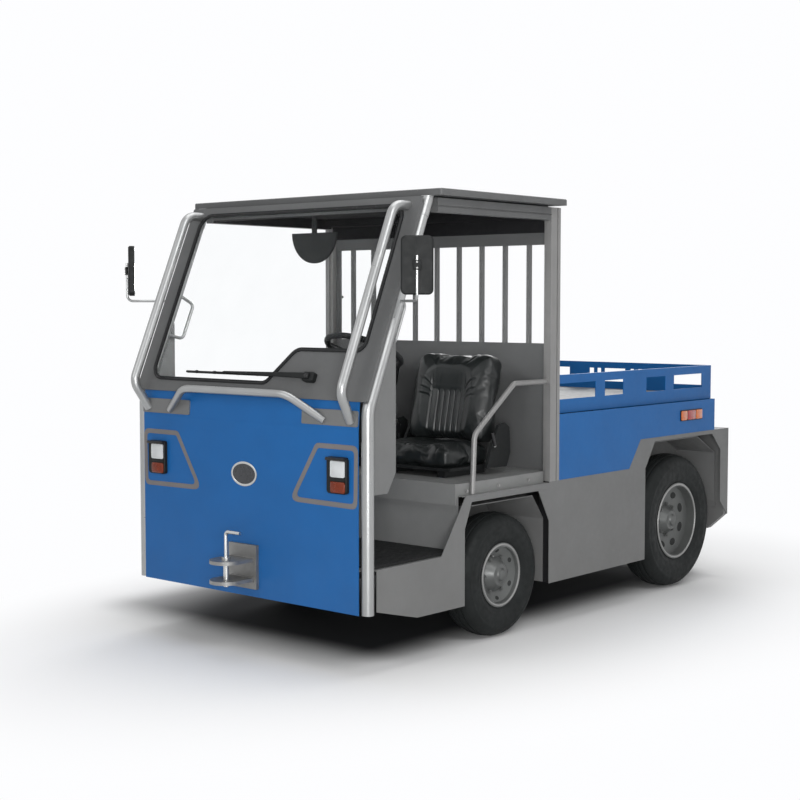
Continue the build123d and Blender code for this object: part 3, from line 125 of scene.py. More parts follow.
@dataclass(frozen=True)
class Finish:
    """A procedural surface: base look, grain, mottling and dust.

    Args:
        name: the material's name.
        color: base colour, linear RGB.
        metallic: share of metal in the shader.
        roughness: middle roughness.
        spread: how far the roughness wanders either way.
        grain: size of the finest bumps, in metres.
        bump: height of those bumps, in metres.
        ripple: size of the broad waves or dents, in metres.
        ripple_bump: height of those waves, in metres.
        mottle: how far the colour wanders, as a share.
        coat: clear coat weight.
        specular: specular level of a surface that isn't metal.
        transmission: share of light that passes through.
        ior: index of refraction.
        dust: how far dust covers the surface near the ground.
    """

    name: str
    color: tuple[float, float, float]
    metallic: float = 0.0
    roughness: float = 0.5
    spread: float = 0.08
    grain: float = 0.002
    bump: float = 0.00004
    ripple: float = 0.08
    ripple_bump: float = 0.0
    mottle: float = 0.06
    coat: float = 0.0
    specular: float = 0.5
    transmission: float = 0.0
    ior: float = 1.45
    dust: float = 0.0


class Finishes:
    """Every finish used on the vehicle."""

    DENTS = {"ripple": 0.3, "ripple_bump": 0.0003}
    MOULDED = {"ripple": 0.005, "ripple_bump": 0.0005, "bump": 0.0}

    BLUE = Finish("blue_paint", (0.008, 0.098, 0.300), roughness=0.40, spread=0.05,
                  grain=0.0025, bump=0.00003, ripple=0.35, ripple_bump=0.0004,
                  mottle=0.05, specular=0.25, dust=0.08)
    GREY = Finish("grey_paint", (0.140, 0.142, 0.142), roughness=0.48, spread=0.07,
                  specular=0.35, dust=0.2, **DENTS)
    # A lighter copy of the grey paint for the seat platform, offsetting the cab's shade: painted
    # light
    LIT_GREY = Finish("lit_grey_paint", (0.190, 0.193, 0.191), spread=0.07, specular=0.35,
                      dust=0.1, **DENTS)
    # A darker copy of the grey paint for the roof, its frame, the screen's sheet and the rear wall:
    # painted shade
    SHADED_GREY = Finish("shaded_grey_paint", (0.098, 0.100, 0.101), ripple=0.3, ripple_bump=0.0004,
                  specular=0.35)
    TUBE = Finish("tube_steel", (0.33, 0.335, 0.335), metallic=0.8, roughness=0.33,
                  spread=0.06, grain=0.0012, bump=0.00002, mottle=0.05)
    STRIPE = Finish("stripe_grey", (0.150, 0.140, 0.140), roughness=0.45, mottle=0.05,
                    specular=0.3)
    POST = Finish("post_paint", (0.215, 0.213, 0.210), metallic=0.25, roughness=0.40,
                  mottle=0.05, **DENTS)
    PLASTIC = Finish("black_plastic", (0.0110, 0.0120, 0.0122), grain=0.0009, bump=0.00012,
                     mottle=0.12, specular=0.16)
    # Near-black sheet for the roof's underside and the arch gaps: painted shade
    SHADE_LINER = Finish("roof_shade_liner", (0.010, 0.010, 0.011), roughness=0.9, bump=0.0002,
                   mottle=0.15, specular=0.2)
    GLOSS_BLACK = Finish("gloss_black", (0.010, 0.010, 0.011), roughness=0.22, specular=0.35)
    BADGE = Finish("front_disc", (0.030, 0.032, 0.036), roughness=0.28, mottle=0.2)
    RUBBER = Finish("rubber", (0.0125, 0.0135, 0.0140), roughness=0.68, grain=0.0012,
                    bump=0.0001, mottle=0.12, specular=0.2, dust=0.08)
    TYRE = Finish("tyre", (0.0105, 0.0120, 0.0120), roughness=0.62, spread=0.12,
                  grain=0.003, bump=0.00015, ripple=0.09, ripple_bump=0.0003, mottle=0.25,
                  specular=0.2)
    RIM = Finish("rim_paint", (0.100, 0.104, 0.102), metallic=0.3, roughness=0.38,
                 grain=0.0016, bump=0.00003, mottle=0.08, specular=0.4)
    # Matte near-black ovals for the rim's hand holes: painted shade of the open holes
    HOLE_SHADE = Finish("rim_hole_shade", (0.035, 0.036, 0.036), roughness=0.9, specular=0.1)
    BRIGHT = Finish("bright_metal", (0.50, 0.50, 0.49), metallic=1.0, roughness=0.28)
    VINYL = Finish("vinyl", (0.0075, 0.0092, 0.0092), roughness=0.40, spread=0.06,
                   grain=0.0014, bump=0.00010, ripple=0.07, ripple_bump=0.0006,
                   mottle=0.10, specular=0.35, coat=0.10)
    UNDER = Finish("under_paint", (0.018, 0.018, 0.019), roughness=0.6, spread=0.12,
                   grain=0.003, bump=0.0002, mottle=0.25, specular=0.2, dust=0.15)
    STEEL = Finish("forged_steel", (0.22, 0.22, 0.215), metallic=0.75, roughness=0.45,
                   spread=0.12, grain=0.0016, bump=0.00012, mottle=0.2)
    ZINC = Finish("zinc_fastener", (0.28, 0.28, 0.275), metallic=0.85, roughness=0.38,
                  spread=0.1, mottle=0.15)
    REFLECTOR = Finish("reflector", (0.74, 0.75, 0.76), metallic=0.15, roughness=0.30,
                       ripple=0.008, ripple_bump=0.0004, bump=0.0)
    AMBER = Finish("amber_lens", (0.55, 0.12, 0.012), roughness=0.16, coat=0.6, **MOULDED)
    DARK_AMBER = Finish("dark_amber_lens", (0.15, 0.023, 0.007), roughness=0.22,
                        specular=0.3, **MOULDED)
    RED = Finish("red_lens", (0.32, 0.010, 0.008), roughness=0.16, coat=0.6, **MOULDED)
    # Clear lens with a pale, part-diffuse share: its whiteness is partly a painted reflection of
    # the bright reflector behind it
    CLEAR = Finish("clear_lens", (0.80, 0.82, 0.83), roughness=0.05, transmission=0.62,
                   ior=1.08, bump=0.0, mottle=0.01, spread=0.01)
    GLASS = Finish("glass", (0.975, 0.985, 0.985), roughness=0.0, transmission=1.0,
                   ior=1.06, bump=0.0, mottle=0.01, spread=0.0)
    MIRROR = Finish("mirror_glass", (0.8, 0.82, 0.83), metallic=1.0, roughness=0.04,
                    bump=0.0, mottle=0.02, spread=0.02)
    DIAL = Finish("dial_face", (0.03, 0.035, 0.04), roughness=0.3, coat=0.5)
    WHITE = Finish("white_mark", (0.62, 0.62, 0.60), roughness=0.45)
    GREEN = Finish("green_cap", (0.02, 0.20, 0.06), roughness=0.35)


class Tree:
    """Adds and joins the nodes of one shader tree.

    Args:
        owner: the material or world that holds the tree.
    """

    def __init__(self, owner: bpy.types.ID) -> None:
        """Takes the owner's tree."""
        owner.use_nodes = True
        self.nodes = owner.node_tree.nodes
        self.links = owner.node_tree.links

    def put(self, value: object, target: Socket) -> None:
        """Links a socket to an input, or sets the input's own value."""
        if isinstance(value, Socket):
            self.links.new(value, target)
        else:
            target.default_value = value

    def fill(self, node: bpy.types.Node, **inputs: object) -> bpy.types.Node:
        """Puts values or sockets on a node's inputs, named with underscores for spaces."""
        for name, value in inputs.items():
            self.put(value, node.inputs[name.replace("_", " ")])
        return node

    def node(self, kind: str, **inputs: object) -> bpy.types.Node:
        """Adds a node, given by its kind without the prefix, and fills its inputs."""
        return self.fill(self.nodes.new("ShaderNode" + kind), **inputs)

    def numbered(self, kind: str, inputs: dict[int, object], **settings: object) -> bpy.types.Node:
        """Adds a node with settings, and fills its inputs by number."""
        made = self.nodes.new("ShaderNode" + kind)
        for name, value in settings.items():
            setattr(made, name, value)
        for number, value in inputs.items():
            self.put(value, made.inputs[number])
        return made

    def math(self, operation: str, one: object, other: object) -> Socket:
        """The result of a sum on two numbers."""
        return self.numbered("Math", {0: one, 1: other}, operation=operation).outputs[0]

    def vector(self, operation: str, one: object, other: Point = (0.0, 0.0, 0.0)) -> Socket:
        """The result of a sum on two vectors, a number when it is a length."""
        made = self.numbered("VectorMath", {0: one, 1: other}, operation=operation)
        return made.outputs["Value" if operation == "LENGTH" else "Vector"]

    def colors(self, share: Socket, one: object, other: object) -> Socket:
        """A blend of two colours."""
        return self.numbered("Mix", {0: share, 6: one, 7: other}, data_type="RGBA").outputs[2]

    def shaders(self, share: Socket, one: Socket, other: Socket) -> Socket:
        """A blend of two shaders."""
        return self.numbered("MixShader", {0: share, 1: one, 2: other}).outputs[0]

    def seen(self) -> Socket:
        """1 on camera, mirror and see-through rays, and 0 on light."""
        rays = self.node("LightPath").outputs
        direct = self.math("MAXIMUM", rays["Is Camera Ray"], rays["Is Glossy Ray"])
        return self.math("MAXIMUM", direct, rays["Is Transmission Ray"])


class Look(Tree):
    """Writes one finish as a material.

    Args:
        finish: the finish to write.
    """

    BROAD = 0.18
    FINE = 0.03
    PATCHES = 0.07
    LOW = 0.3
    HIGH = 0.7
    COAT_ROUGHNESS = 0.12
    DUST_COLOR = (0.17, 0.155, 0.135, 1.0)
    DUST_BOTTOM = 0.15
    DUST_TOP = 0.85
    SHADOW_TINT = (0.96, 0.97, 0.97, 1.0)

    def __init__(self, finish: Finish) -> None:
        """Starts the material."""
        self.finish = finish
        self.material = bpy.data.materials.new(finish.name)
        super().__init__(self.material)

    def build(self) -> bpy.types.Material:
        """Wires colour, roughness and bump, and returns the material."""
        look = self.finish
        place = self.node("TexCoord").outputs["Object"]
        shader = self.fill(
            self.nodes["Principled BSDF"], Base_Color=self._color(place),
            Roughness=self._roughness(place), Metallic=look.metallic, Coat_Weight=look.coat,
            Coat_Roughness=self.COAT_ROUGHNESS, Specular_IOR_Level=look.specular,
            Transmission_Weight=look.transmission, IOR=look.ior)
        for size, height in ((look.ripple, look.ripple_bump), (look.grain, look.bump)):
            if height > 0:
                self._bump(shader, self.noise(place, size, 2.0), height)
        if look.transmission > 0:
            self._let_light_through(shader)
        return self.material

    def noise(self, place: Socket, size: float, detail: float) -> Socket:
        """A noise of this size in metres; returns its factor."""
        made = self.node("TexNoise", Vector=place, Scale=1.0 / size, Detail=detail,
                         Roughness=0.55)
        return made.outputs["Fac"]

    def _color(self, place: Socket) -> Socket:
        """The mottled colour, with dust where the finish has it."""
        look = self.finish
        ramp = self.node("ValToRGB", Fac=self.noise(place, self.BROAD, 4.0))
        stops = ((self.LOW, 1 - look.mottle), (self.HIGH, 1 + look.mottle))
        for stop, (position, level) in zip(ramp.color_ramp.elements, stops):
            stop.position = position
            stop.color = tuple(min(1.0, c * level) for c in look.color) + (1.0,)
        color = ramp.outputs["Color"]
        return self._dusted(place, color) if look.dust > 0 else color

    def _dusted(self, place: Socket, color: Socket) -> Socket:
        """Blends in road dust, thickest near the ground and broken up by noise.

        Args:
            place: object coordinates.
            color: the clean colour.

        Returns:
            The dusty colour.
        """
        height = self.node("SeparateXYZ", Vector=place).outputs["Z"]
        low = self.node("MapRange", Value=height, From_Min=self.DUST_BOTTOM,
                        From_Max=self.DUST_TOP, To_Min=self.finish.dust, To_Max=0.0)
        patchy = self.math("MULTIPLY", low.outputs["Result"],
                           self.noise(place, self.PATCHES, 6.0))
        return self.colors(patchy, color, self.DUST_COLOR)

    def _roughness(self, place: Socket) -> Socket:
        """Roughness that wanders round its middle value."""
        look = self.finish
        made = self.node("MapRange", Value=self.noise(place, self.FINE, 5.0),
                         From_Min=self.LOW, From_Max=self.HIGH,
                         To_Min=max(0.0, look.roughness - look.spread),
                         To_Max=min(1.0, look.roughness + look.spread))
        return made.outputs["Result"]

    def _bump(self, shader: bpy.types.Node, wave: Socket, height: float) -> None:
        """Lays one more layer of bumps over those that the shader has."""
        bump = self.node("Bump", Strength=1.0, Distance=height, Height=wave)
        normal = shader.inputs["Normal"]
        if normal.is_linked:
            self.put(normal.links[0].from_socket, bump.inputs["Normal"])
        self.put(bump.outputs["Normal"], normal)

    def _let_light_through(self, shader: bpy.types.Node) -> None:
        """Lets shadow rays pass, so that a pane doesn't darken what is behind it."""
        shadow = self.node("LightPath").outputs["Is Shadow Ray"]
        clear = self.node("BsdfTransparent", Color=self.SHADOW_TINT)
        mixed = self.shaders(shadow, shader.outputs[0], clear.outputs[0])
        self.put(mixed, self.nodes["Material Output"].inputs["Surface"])


@functools.cache
def material(finish: Finish) -> bpy.types.Material:
    """The Blender material of a finish, made once."""
    return Look(finish).build()


def facing(place: Point, normal: Point, up: Point = (0, 0, 1)) -> Matrix:
    """A matrix whose local Z is the normal and whose local Y leans toward up.

    Args:
        place: the origin.
        normal: the direction of local Z.
        up: the direction that local Y follows as far as it can.

    Returns:
        The 4x4 matrix.
    """
    z = Vector(normal).normalized()
    y = Vector(up) - z * Vector(up).dot(z)
    if y.length < 1e-6:
        y = Vector((0, 1, 0)) - z * z.y
    y.normalize()
    x = y.cross(z)
    turn = Matrix((x, y, z)).transposed().to_4x4()
    return Matrix.Translation(Vector(place)) @ turn


def moved(place: Matrix, x: float = 0.0, y: float = 0.0, z: float = 0.0) -> Matrix:
    """A place shifted along its own axes."""
    return place @ Matrix.Translation((x, y, z))


def turned(place: Matrix, angle: float) -> Matrix:
    """A place turned about its own Z, in radians."""
    return place @ Matrix.Rotation(angle, 4, "Z")


def rounded(width: float, height: float, radius: float, steps: int = 5) -> list[Pair]:
    """Corner points of a rounded rectangle round the origin, counter-clockwise."""
    points = []
    for sx, sy, start in ((1, 1, 0), (-1, 1, 90), (-1, -1, 180), (1, -1, 270)):
        cx = sx * (width / 2 - radius)
        cy = sy * (height / 2 - radius)
        for i in range(steps + 1):
            a = math.radians(start + 90 * i / steps)
            points.append((cx + radius * math.cos(a), cy + radius * math.sin(a)))
    return points


def ellipse(a: float, b: float, steps: int = 40) -> list[Pair]:
    """Points of an ellipse with these half axes."""
    return [(a * math.cos(2 * math.pi * i / steps), b * math.sin(2 * math.pi * i / steps))
            for i in range(steps)]


def bead(radius: float, height: float, a: float, b: float, steps: int) -> list[Pair]:
    """A closed lathe profile: an ellipse round a middle radius and height."""
    points = [(radius + x, height + y) for x, y in ellipse(a, b, steps)]
    return points + points[:1]


def curve(before: Vector, corner: Vector, after: Vector, reach: float,
          steps: int) -> list[Vector]:
    """Points of the short curve that takes the place of a corner."""
    start = corner + (before - corner).normalized() * reach
    end = corner + (after - corner).normalized() * reach
    shares = [k / steps for k in range(steps + 1)]
    return [(1 - t) ** 2 * start + 2 * t * (1 - t) * corner + t * t * end for t in shares]


def round_corners(points: Sequence[Point], radii: Sequence[float], steps: int) -> list[Pair]:
    """A polygon with each corner rounded by its own radius.

    Args:
        points: the corners, in order.
        radii: one radius per corner, or a single one for all.
        steps: how many edges each round has.

    Returns:
        The outline's points.
    """
    made = []
    count = len(points)
    for i in range(count):
        before, here, after = (Vector(points[(i + k) % count]) for k in (-1, 0, 1))
        half = (before - here).angle(after - here) / 2
        reach = min(radii[i % len(radii)] / math.tan(half), (before - here).length / 2,
                    (after - here).length / 2)
        made += [tuple(point) for point in curve(before, here, after, reach, steps)]
    return made


def drawn_in(points: Sequence[Point], amount: float) -> list[Pair]:
    """A counter-clockwise polygon with every side moved inwards by this much."""
    made = []
    for i, point in enumerate(points):
        here = Vector(point)
        a = (here - Vector(points[i - 1])).normalized()
        b = (Vector(points[(i + 1) % len(points)]) - here).normalized()
        inward = Vector((-a.y, a.x)) + Vector((-b.y, b.x))
        made.append(tuple(here + inward * amount / (1 + a.dot(b))))
    return made


def eased(value: float, start: float, end: float) -> float:
    """A smooth step from 0 at start to 1 at end."""
    share = min(1.0, max(0.0, (value - start) / (end - start)))
    return share * share * (3 - 2 * share)


def pressed(distance: float, depth: float, width: float) -> float:
    """Depth of a pressed line at this distance from its middle."""
    return depth * math.exp(-(distance / width) ** 2)


class Screen:
    """The windscreen plane, which holds the corner posts' axes."""

    NORMAL = Vector((0, -math.cos(POST_LEAN), math.sin(POST_LEAN)))
    UP = Vector((0, math.sin(POST_LEAN), math.cos(POST_LEAN)))
    CORNER_IN = 0.539
    CORNER_OUT = 0.404
    CORNER_RISE = 0.152
    RADII = (0.080, 0.060, 0.060, 0.055, 0.075, 0.075)

    @classmethod
    def place(cls) -> Matrix:
        """The plane's own frame, with its origin at the posts' kink."""
        return facing((0, y_at(POST_STATION), POST_KINK_Z), cls.NORMAL, cls.UP)

    @staticmethod
    def height(z: float, proud: float) -> float:
        """Distance up the plane to height z, on a face this far in front of it."""
        return (z - POST_KINK_Z - proud * math.sin(POST_LEAN)) / math.cos(POST_LEAN)

    @classmethod
    def at(cls, x: float, z: float, proud: float) -> Matrix:
        """A frame on a face this far in front of the plane, at x and height z."""
        return moved(cls.place(), x, cls.height(z, proud), proud)

    @classmethod
    def outline(cls, inset: float) -> list[Pair]:
        """The glass opening's outline in the plane's frame, drawn in by this much."""
        slant = math.atan2(cls.CORNER_RISE, cls.CORNER_IN - cls.CORNER_OUT)
        shift = inset * math.tan(slant / 2)
        half = OPENING_HALF - inset
        low = cls.height(OPENING_BOTTOM, SHEET_BACK) + inset
        step = cls.height(OPENING_BOTTOM + cls.CORNER_RISE, SHEET_BACK) + inset
        top = cls.height(OPENING_TOP, SHEET_BACK) - inset
        corners = [
            (-half, low), (OPENING_HALF - cls.CORNER_IN - shift, low),
            (OPENING_HALF - cls.CORNER_OUT - shift, step), (half, step), (half, top),
            (-half, top),
        ]
        return round_corners(corners, cls.RADII, 7)


class Piece:
    """One mesh under construction.

    Args:
        name: the piece's name in the scene.
    """

    def __init__(self, name: str) -> None:
        """Starts an empty mesh."""
        self.name = name
        self.mesh = bmesh.new()
        self.finishes: list[Finish] = []

    def _paint(self, before: set, finish: Finish) -> None:
        """Gives the faces made since a set of faces was taken a finish."""
        if finish not in self.finishes:
            self.finishes.append(finish)
        index = self.finishes.index(finish)
        for face in self.mesh.faces:
            if face not in before:
                face.material_index = index

    def _bevel(self, edges: Iterable[bmesh.types.BMEdge], offset: float, segments: int = 2) -> None:
        """Rounds edges over, where the offset isn't 0."""
        if offset > 0:
            bmesh.ops.bevel(self.mesh, geom=list(edges), offset=offset, segments=segments,
                            profile=0.5, affect="EDGES", material=-1)

    def box(self, size: Point, place: Matrix, finish: Finish, bevel: float = 0.0015,
            segments: int = 2) -> None:
        """A bevelled block, centred on the place's origin."""
        before = set(self.mesh.faces)
        scale = Matrix.Diagonal((*size, 1.0))
        made = bmesh.ops.create_cube(self.mesh, size=1.0, matrix=place @ scale)
        self._bevel({e for v in made["verts"] for e in v.link_edges}, bevel, segments)
        self._paint(before, finish)

    def cylinder(self, radius: float, depth: float, place: Matrix, finish: Finish,
                 top_radius: Optional[float] = None, sides: int = 24, bevel: float = 0.0) -> None:
        """A round bar standing on the place's origin, along local Z."""
        before = set(self.mesh.faces)
        top = radius if top_radius is None else top_radius
        made = bmesh.ops.create_cone(self.mesh, cap_ends=True, segments=sides, radius1=radius,
                                     radius2=top, depth=depth, matrix=moved(place, z=depth / 2))
        edges = {e for v in made["verts"] for e in v.link_edges}
        self._bevel([e for e in edges if any(len(f.verts) > 4 for f in e.link_faces)], bevel)
        self._paint(before, finish)

    def loop(self, points: Sequence[Point], place: Matrix, depth: float = 0.0) -> list:
        """A closed ring of edges through local points (x, y) or (x, y, z), shifted along Z."""
        verts = []
        for p in points:
            rise = p[2] if len(p) > 2 else 0.0
            verts.append(self.mesh.verts.new(place @ Vector((p[0], p[1], depth + rise))))
        return [self.mesh.edges.new((verts[i - 1], verts[i])) for i in range(len(verts))]

    def slab(self, points: Sequence[Point], depth: float, place: Matrix, finish: Finish,
             bevel: float = 0.0, segments: int = 2) -> None:
        """An extruded outline standing on the place's local XY plane."""
        before = set(self.mesh.faces)
        made = bmesh.ops.contextual_create(self.mesh, geom=self.loop(points, place))
        grown = bmesh.ops.extrude_face_region(self.mesh, geom=made["faces"])["geom"]
        lifted = [g for g in grown if isinstance(g, bmesh.types.BMVert)]
        step = place.to_3x3() @ Vector((0, 0, depth))
        bmesh.ops.translate(self.mesh, verts=lifted, vec=step)
        top = [g for g in grown if isinstance(g, bmesh.types.BMFace)]
        self._bevel([e for f in top for e in f.edges], bevel, segments)
        self._paint(before, finish)

    def _skin(self, rings: list, caps: tuple[bool, bool], closed: bool = False) -> None:
        """Joins each ring of edges to the next, and fills the wanted ends."""
        pairs = list(zip(rings, rings[1:]))
        if closed:
            pairs.append((rings[-1], rings[0]))
        for one, two in pairs:
            bmesh.ops.bridge_loops(self.mesh, edges=one + two)
        for wanted, ring in zip(caps, (rings[0], rings[-1])):
            if wanted:
                bmesh.ops.contextual_create(self.mesh, geom=ring)

    def loft(self, loops: Sequence[Sequence[Point]], depths: Sequence[float], place: Matrix,
             finish: Finish, caps: tuple[bool, bool] = (True, True), closed: bool = False) -> None:
        """Skins rings of equal length, each at its own depth along local Z."""
        before = set(self.mesh.faces)
        rings = [self.loop(points, place, depth) for points, depth in zip(loops, depths)]
        self._skin(rings, caps, closed)
        self._paint(before, finish)

    def crowned(self, width: float, height: float, radius: float, draw: float,
                depths: Sequence[float], place: Matrix, finish: Finish) -> None:
        """A rounded block whose front is drawn in by this much, as a lens is."""
        outer = rounded(width, height, radius)
        front = rounded(width - draw, height - draw, radius - 0.001)
        self.loft([outer, outer, front], depths, place, finish)

    def ribs(self, count: int, size: Point, place: Matrix, finish: Finish, bevel: float) -> None:
        """Level ribs 8 mm apart, centred on the place."""
        for i in range(count):
            self.box(size, moved(place, y=(i - (count - 1) / 2) * 0.008), finish, bevel)

    def lathe(self, profile: Sequence[Point], place: Matrix, finish: Finish,
              steps: int = 64) -> None:
        """Spins a profile of (radius, height) about the place's local Z."""
        before = set(self.mesh.faces)
        verts = [self.mesh.verts.new(place @ Vector((r, 0, h))) for r, h in profile]
        edges = [self.mesh.edges.new(pair) for pair in zip(verts, verts[1:])]
        axis = place.to_3x3() @ Vector((0, 0, 1))
        bmesh.ops.spin(self.mesh, geom=verts + edges, cent=place.translation, axis=axis,
                       dvec=(0, 0, 0), angle=2 * math.pi, steps=steps, use_merge=True)
        if any(r < 1e-7 and v.is_valid for v, (r, _) in zip(verts, profile)):
            bmesh.ops.remove_doubles(self.mesh, verts=self.mesh.verts[:], dist=1e-6)
        self._paint(before, finish)

    def tube(self, points: Sequence[Point], radius: float, finish: Finish, sides: int = 12,
             bend: float = 0.0) -> None:
        """A round tube along a path, with its inner corners rounded."""
        before = set(self.mesh.faces)
        corners = [Vector(p) for p in points]
        path = corners[:1]
        for behind, here, ahead in zip(corners, corners[1:], corners[2:]):
            reach = min(bend, (behind - here).length / 2.05, (ahead - here).length / 2.05)
            path += curve(behind, here, ahead, reach, 6) if bend > 0 else [here]
        path.append(corners[-1])
        across = (path[1] - path[0]).normalized().orthogonal()
        rings = []
        for i, here in enumerate(path):
            along = (path[min(i + 1, len(path) - 1)] - path[max(i - 1, 0)]).normalized()
            across = (across - along * across.dot(along)).normalized()
            turn = Matrix((across, along.cross(across), along)).transposed().to_4x4()
            place = Matrix.Translation(here) @ turn
            rings.append(self.loop(ellipse(radius, radius, sides), place))
        self._skin(rings, (True, True))
        self._paint(before, finish)

    def bolt(self, place: Point, normal: Point, size: float, finish: Finish,
             washer: bool = True) -> None:
        """A hexagon bolt head on a washer.

        Args:
            place: the point on the surface.
            normal: the way the head faces.
            size: the thread's diameter, in metres.
            finish: the fastener's finish.
            washer: False leaves the washer out.
        """
        base = facing(place, normal)
        if washer:
            self.cylinder(size * 1.1, size * 0.16, base, finish, sides=18)
        self.cylinder(size * 0.92, size * 0.5, moved(base, z=size * 0.14), finish, sides=6)
        self.cylinder(size * 0.8, size * 0.12, moved(base, z=size * 0.64), finish,
                      top_radius=size * 0.62, sides=12)

    def _mirror(self) -> None:
        """Adds the mirror image across X = 0."""
        geom = list(self.mesh.verts) + list(self.mesh.edges) + list(self.mesh.faces)
        made = bmesh.ops.duplicate(self.mesh, geom=geom)["geom"]
        verts = [g for g in made if isinstance(g, bmesh.types.BMVert)]
        faces = [g for g in made if isinstance(g, bmesh.types.BMFace)]
        bmesh.ops.scale(self.mesh, verts=verts, vec=(-1, 1, 1))
        bmesh.ops.reverse_faces(self.mesh, faces=faces)

    def done(self, body: str = "chassis", angle: float = 35.0,
             replaces: Sequence[str] = (), mirrored: bool = False) -> None:
        """Turns the mesh into an object that rides on a body.

        Args:
            body: the CAD body that the piece moves with.
            angle: edges sharper than this stay hard, in degrees.
            replaces: the CAD nodes that the piece stands for.
            mirrored: True adds the mirror image on the other side.
        """
        if mirrored:
            self._mirror()
        bmesh.ops.recalc_face_normals(self.mesh, faces=self.mesh.faces)
        limit = math.radians(angle)
        for face in self.mesh.faces:
            face.smooth = True
        for edge in self.mesh.edges:
            if len(edge.link_faces) == 2:
                edge.smooth = edge.calc_face_angle(0.0) < limit
        data = bpy.data.meshes.new(self.name)
        self.mesh.to_mesh(data)
        self.mesh.free()
        for finish in self.finishes:
            data.materials.append(material(finish))
        made = bpy.data.objects.new(self.name, data)
        bpy.context.scene.collection.objects.link(made)
        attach(made, body)
        if replaces:
            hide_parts(*replaces)


class Stage:
    """Floor, world, lamps and camera."""

    CAMERA_PLACE = (4.8629, -6.1624, 1.5920)
    CAMERA_TURN = (math.radians(90 - 3.7881), 0.0, math.radians(40.5826))
    CAMERA_LENS = 66.53
    LAMPS = [
        # name, place, width, height, power
        ("key", (5.2, -2.6, 5.4), 3.2, 3.2, 125.0),
        ("front", (-1.2, -7.4, 4.2), 4.0, 3.0, 85.0),
        ("fill", (5.4, -6.2, 1.5), 2.6, 2.0, 320.0),
        ("top", (0.0, 0.4, 6.6), 5.0, 5.0, 175.0),
        ("left_low", (7.0, 2.6, 1.8), 3.0, 2.0, 25.0),
        ("back", (-3.2, 6.4, 4.6), 4.0, 3.0, 150.0),
    ]
    AIM = (0.0, 0.0, 0.9)
    WORLD_LEVEL = 0.16
    WORLD_COLOR = (0.96, 0.98, 1.0, 1.0)
    WHITE = (0.985, 0.988, 1.0, 1.0)
    FLOOR_HALF = 60.0
    FLOOR_COLOR = (0.96, 0.96, 0.96, 1.0)
    # The painted contact shadow: a dark patch laid into the floor's colour under the body
    SHADE_COLOR = (0.02, 0.021, 0.023, 1.0)
    SHADE_MIDDLE = (-0.42, 0.14, 0.0)
    SHADE_HALF = (0.78, 1.26, 1.0)
    SHADE_REACH = 0.36
    FADE_START = 0.95
    FADE_END = 2.1
    FADE_SHAPE = (1.0, 0.6, 1.0)

    def build(self) -> None:
        """Makes the stage."""
        bpy.context.scene.view_settings.view_transform = "Standard"
        self._world()
        self._floor()
        self._lamps()
        self._camera()

    def _world(self) -> None:
        """A pale world that eyes and mirrors see as white."""
        world = bpy.data.worlds.new("studio")
        tree = Tree(world)
        lit = tree.fill(tree.nodes["Background"], Color=self.WORLD_COLOR,
                        Strength=self.WORLD_LEVEL)
        seen = tree.node("Background", Color=self.WHITE, Strength=1.0)
        tree.fill(tree.nodes["World Output"],
                  Surface=tree.shaders(tree.seen(), lit.outputs[0], seen.outputs[0]))
        bpy.context.scene.world = world

    def _floor(self) -> None:
        """A white floor that keeps the shadow near the vehicle, with a painted contact shadow under
        the body.
        """
        data = bpy.data.meshes.new("floor")
        mesh = bmesh.new()
        bmesh.ops.create_grid(mesh, x_segments=1, y_segments=1, size=self.FLOOR_HALF)
        mesh.to_mesh(data)
        mesh.free()
        floor = bpy.data.objects.new("floor", data)
        bpy.context.scene.collection.objects.link(floor)
        look = bpy.data.materials.new("floor")
        tree = Tree(look)
        place = tree.node("TexCoord").outputs["Object"]
        shader = tree.fill(tree.nodes["Principled BSDF"], Base_Color=self._shade(tree, place),
                           Roughness=0.9, Specular_IOR_Level=0.1)
        white = tree.node("Emission", Color=self.WHITE)
        shape = tree.node("Mapping", Vector=place, Scale=self.FADE_SHAPE).outputs["Vector"]
        far = self._smooth(tree, tree.vector("LENGTH", shape), self.FADE_START, self.FADE_END)
        share = tree.math("MULTIPLY", far, tree.seen())
        tree.fill(tree.nodes["Material Output"],
                  Surface=tree.shaders(share, shader.outputs[0], white.outputs[0]))
        data.materials.append(look)

    @staticmethod
    def _smooth(tree: Tree, value: Socket, start: float, end: float) -> Socket:
        """A smooth step from 0 at start to 1 at end."""
        made = tree.node("MapRange", Value=value, From_Min=start, From_Max=end)
        made.interpolation_type = "SMOOTHSTEP"
        return made.outputs["Result"]

    def _shade(self, tree: Tree, place: Socket) -> Socket:
        """The floor's colour, with a painted contact shadow that darkens it under the body."""
        offset = tree.vector("ABSOLUTE", tree.vector("SUBTRACT", place, self.SHADE_MIDDLE))
        past = tree.vector("MAXIMUM", tree.vector("SUBTRACT", offset, self.SHADE_HALF))
        share = self._smooth(tree, tree.vector("LENGTH", past), 0.0, self.SHADE_REACH)
        return tree.colors(share, self.SHADE_COLOR, self.FLOOR_COLOR)

    def _lamps(self) -> None:
        """Soft area lamps round the vehicle."""
        for name, place, width, height, power in self.LAMPS:
            data = bpy.data.lights.new(name, "AREA")
            data.shape = "RECTANGLE"
            data.size = width
            data.size_y = height
            data.energy = power
            lamp = bpy.data.objects.new(name, data)
            bpy.context.scene.collection.objects.link(lamp)
            lamp.location = place
            aim = Vector(self.AIM) - Vector(place)
            lamp.rotation_euler = aim.to_track_quat("-Z", "Y").to_euler()

    def _camera(self) -> None:
        """The photograph's camera."""
        data = bpy.data.cameras.new("camera")
        data.lens = self.CAMERA_LENS
        data.sensor_width = 36.0
        data.sensor_fit = "HORIZONTAL"
        data.clip_end = 200.0
        camera = bpy.data.objects.new("camera", data)
        bpy.context.scene.collection.objects.link(camera)
        camera.location = self.CAMERA_PLACE
        camera.rotation_euler = self.CAMERA_TURN
        bpy.context.scene.camera = camera


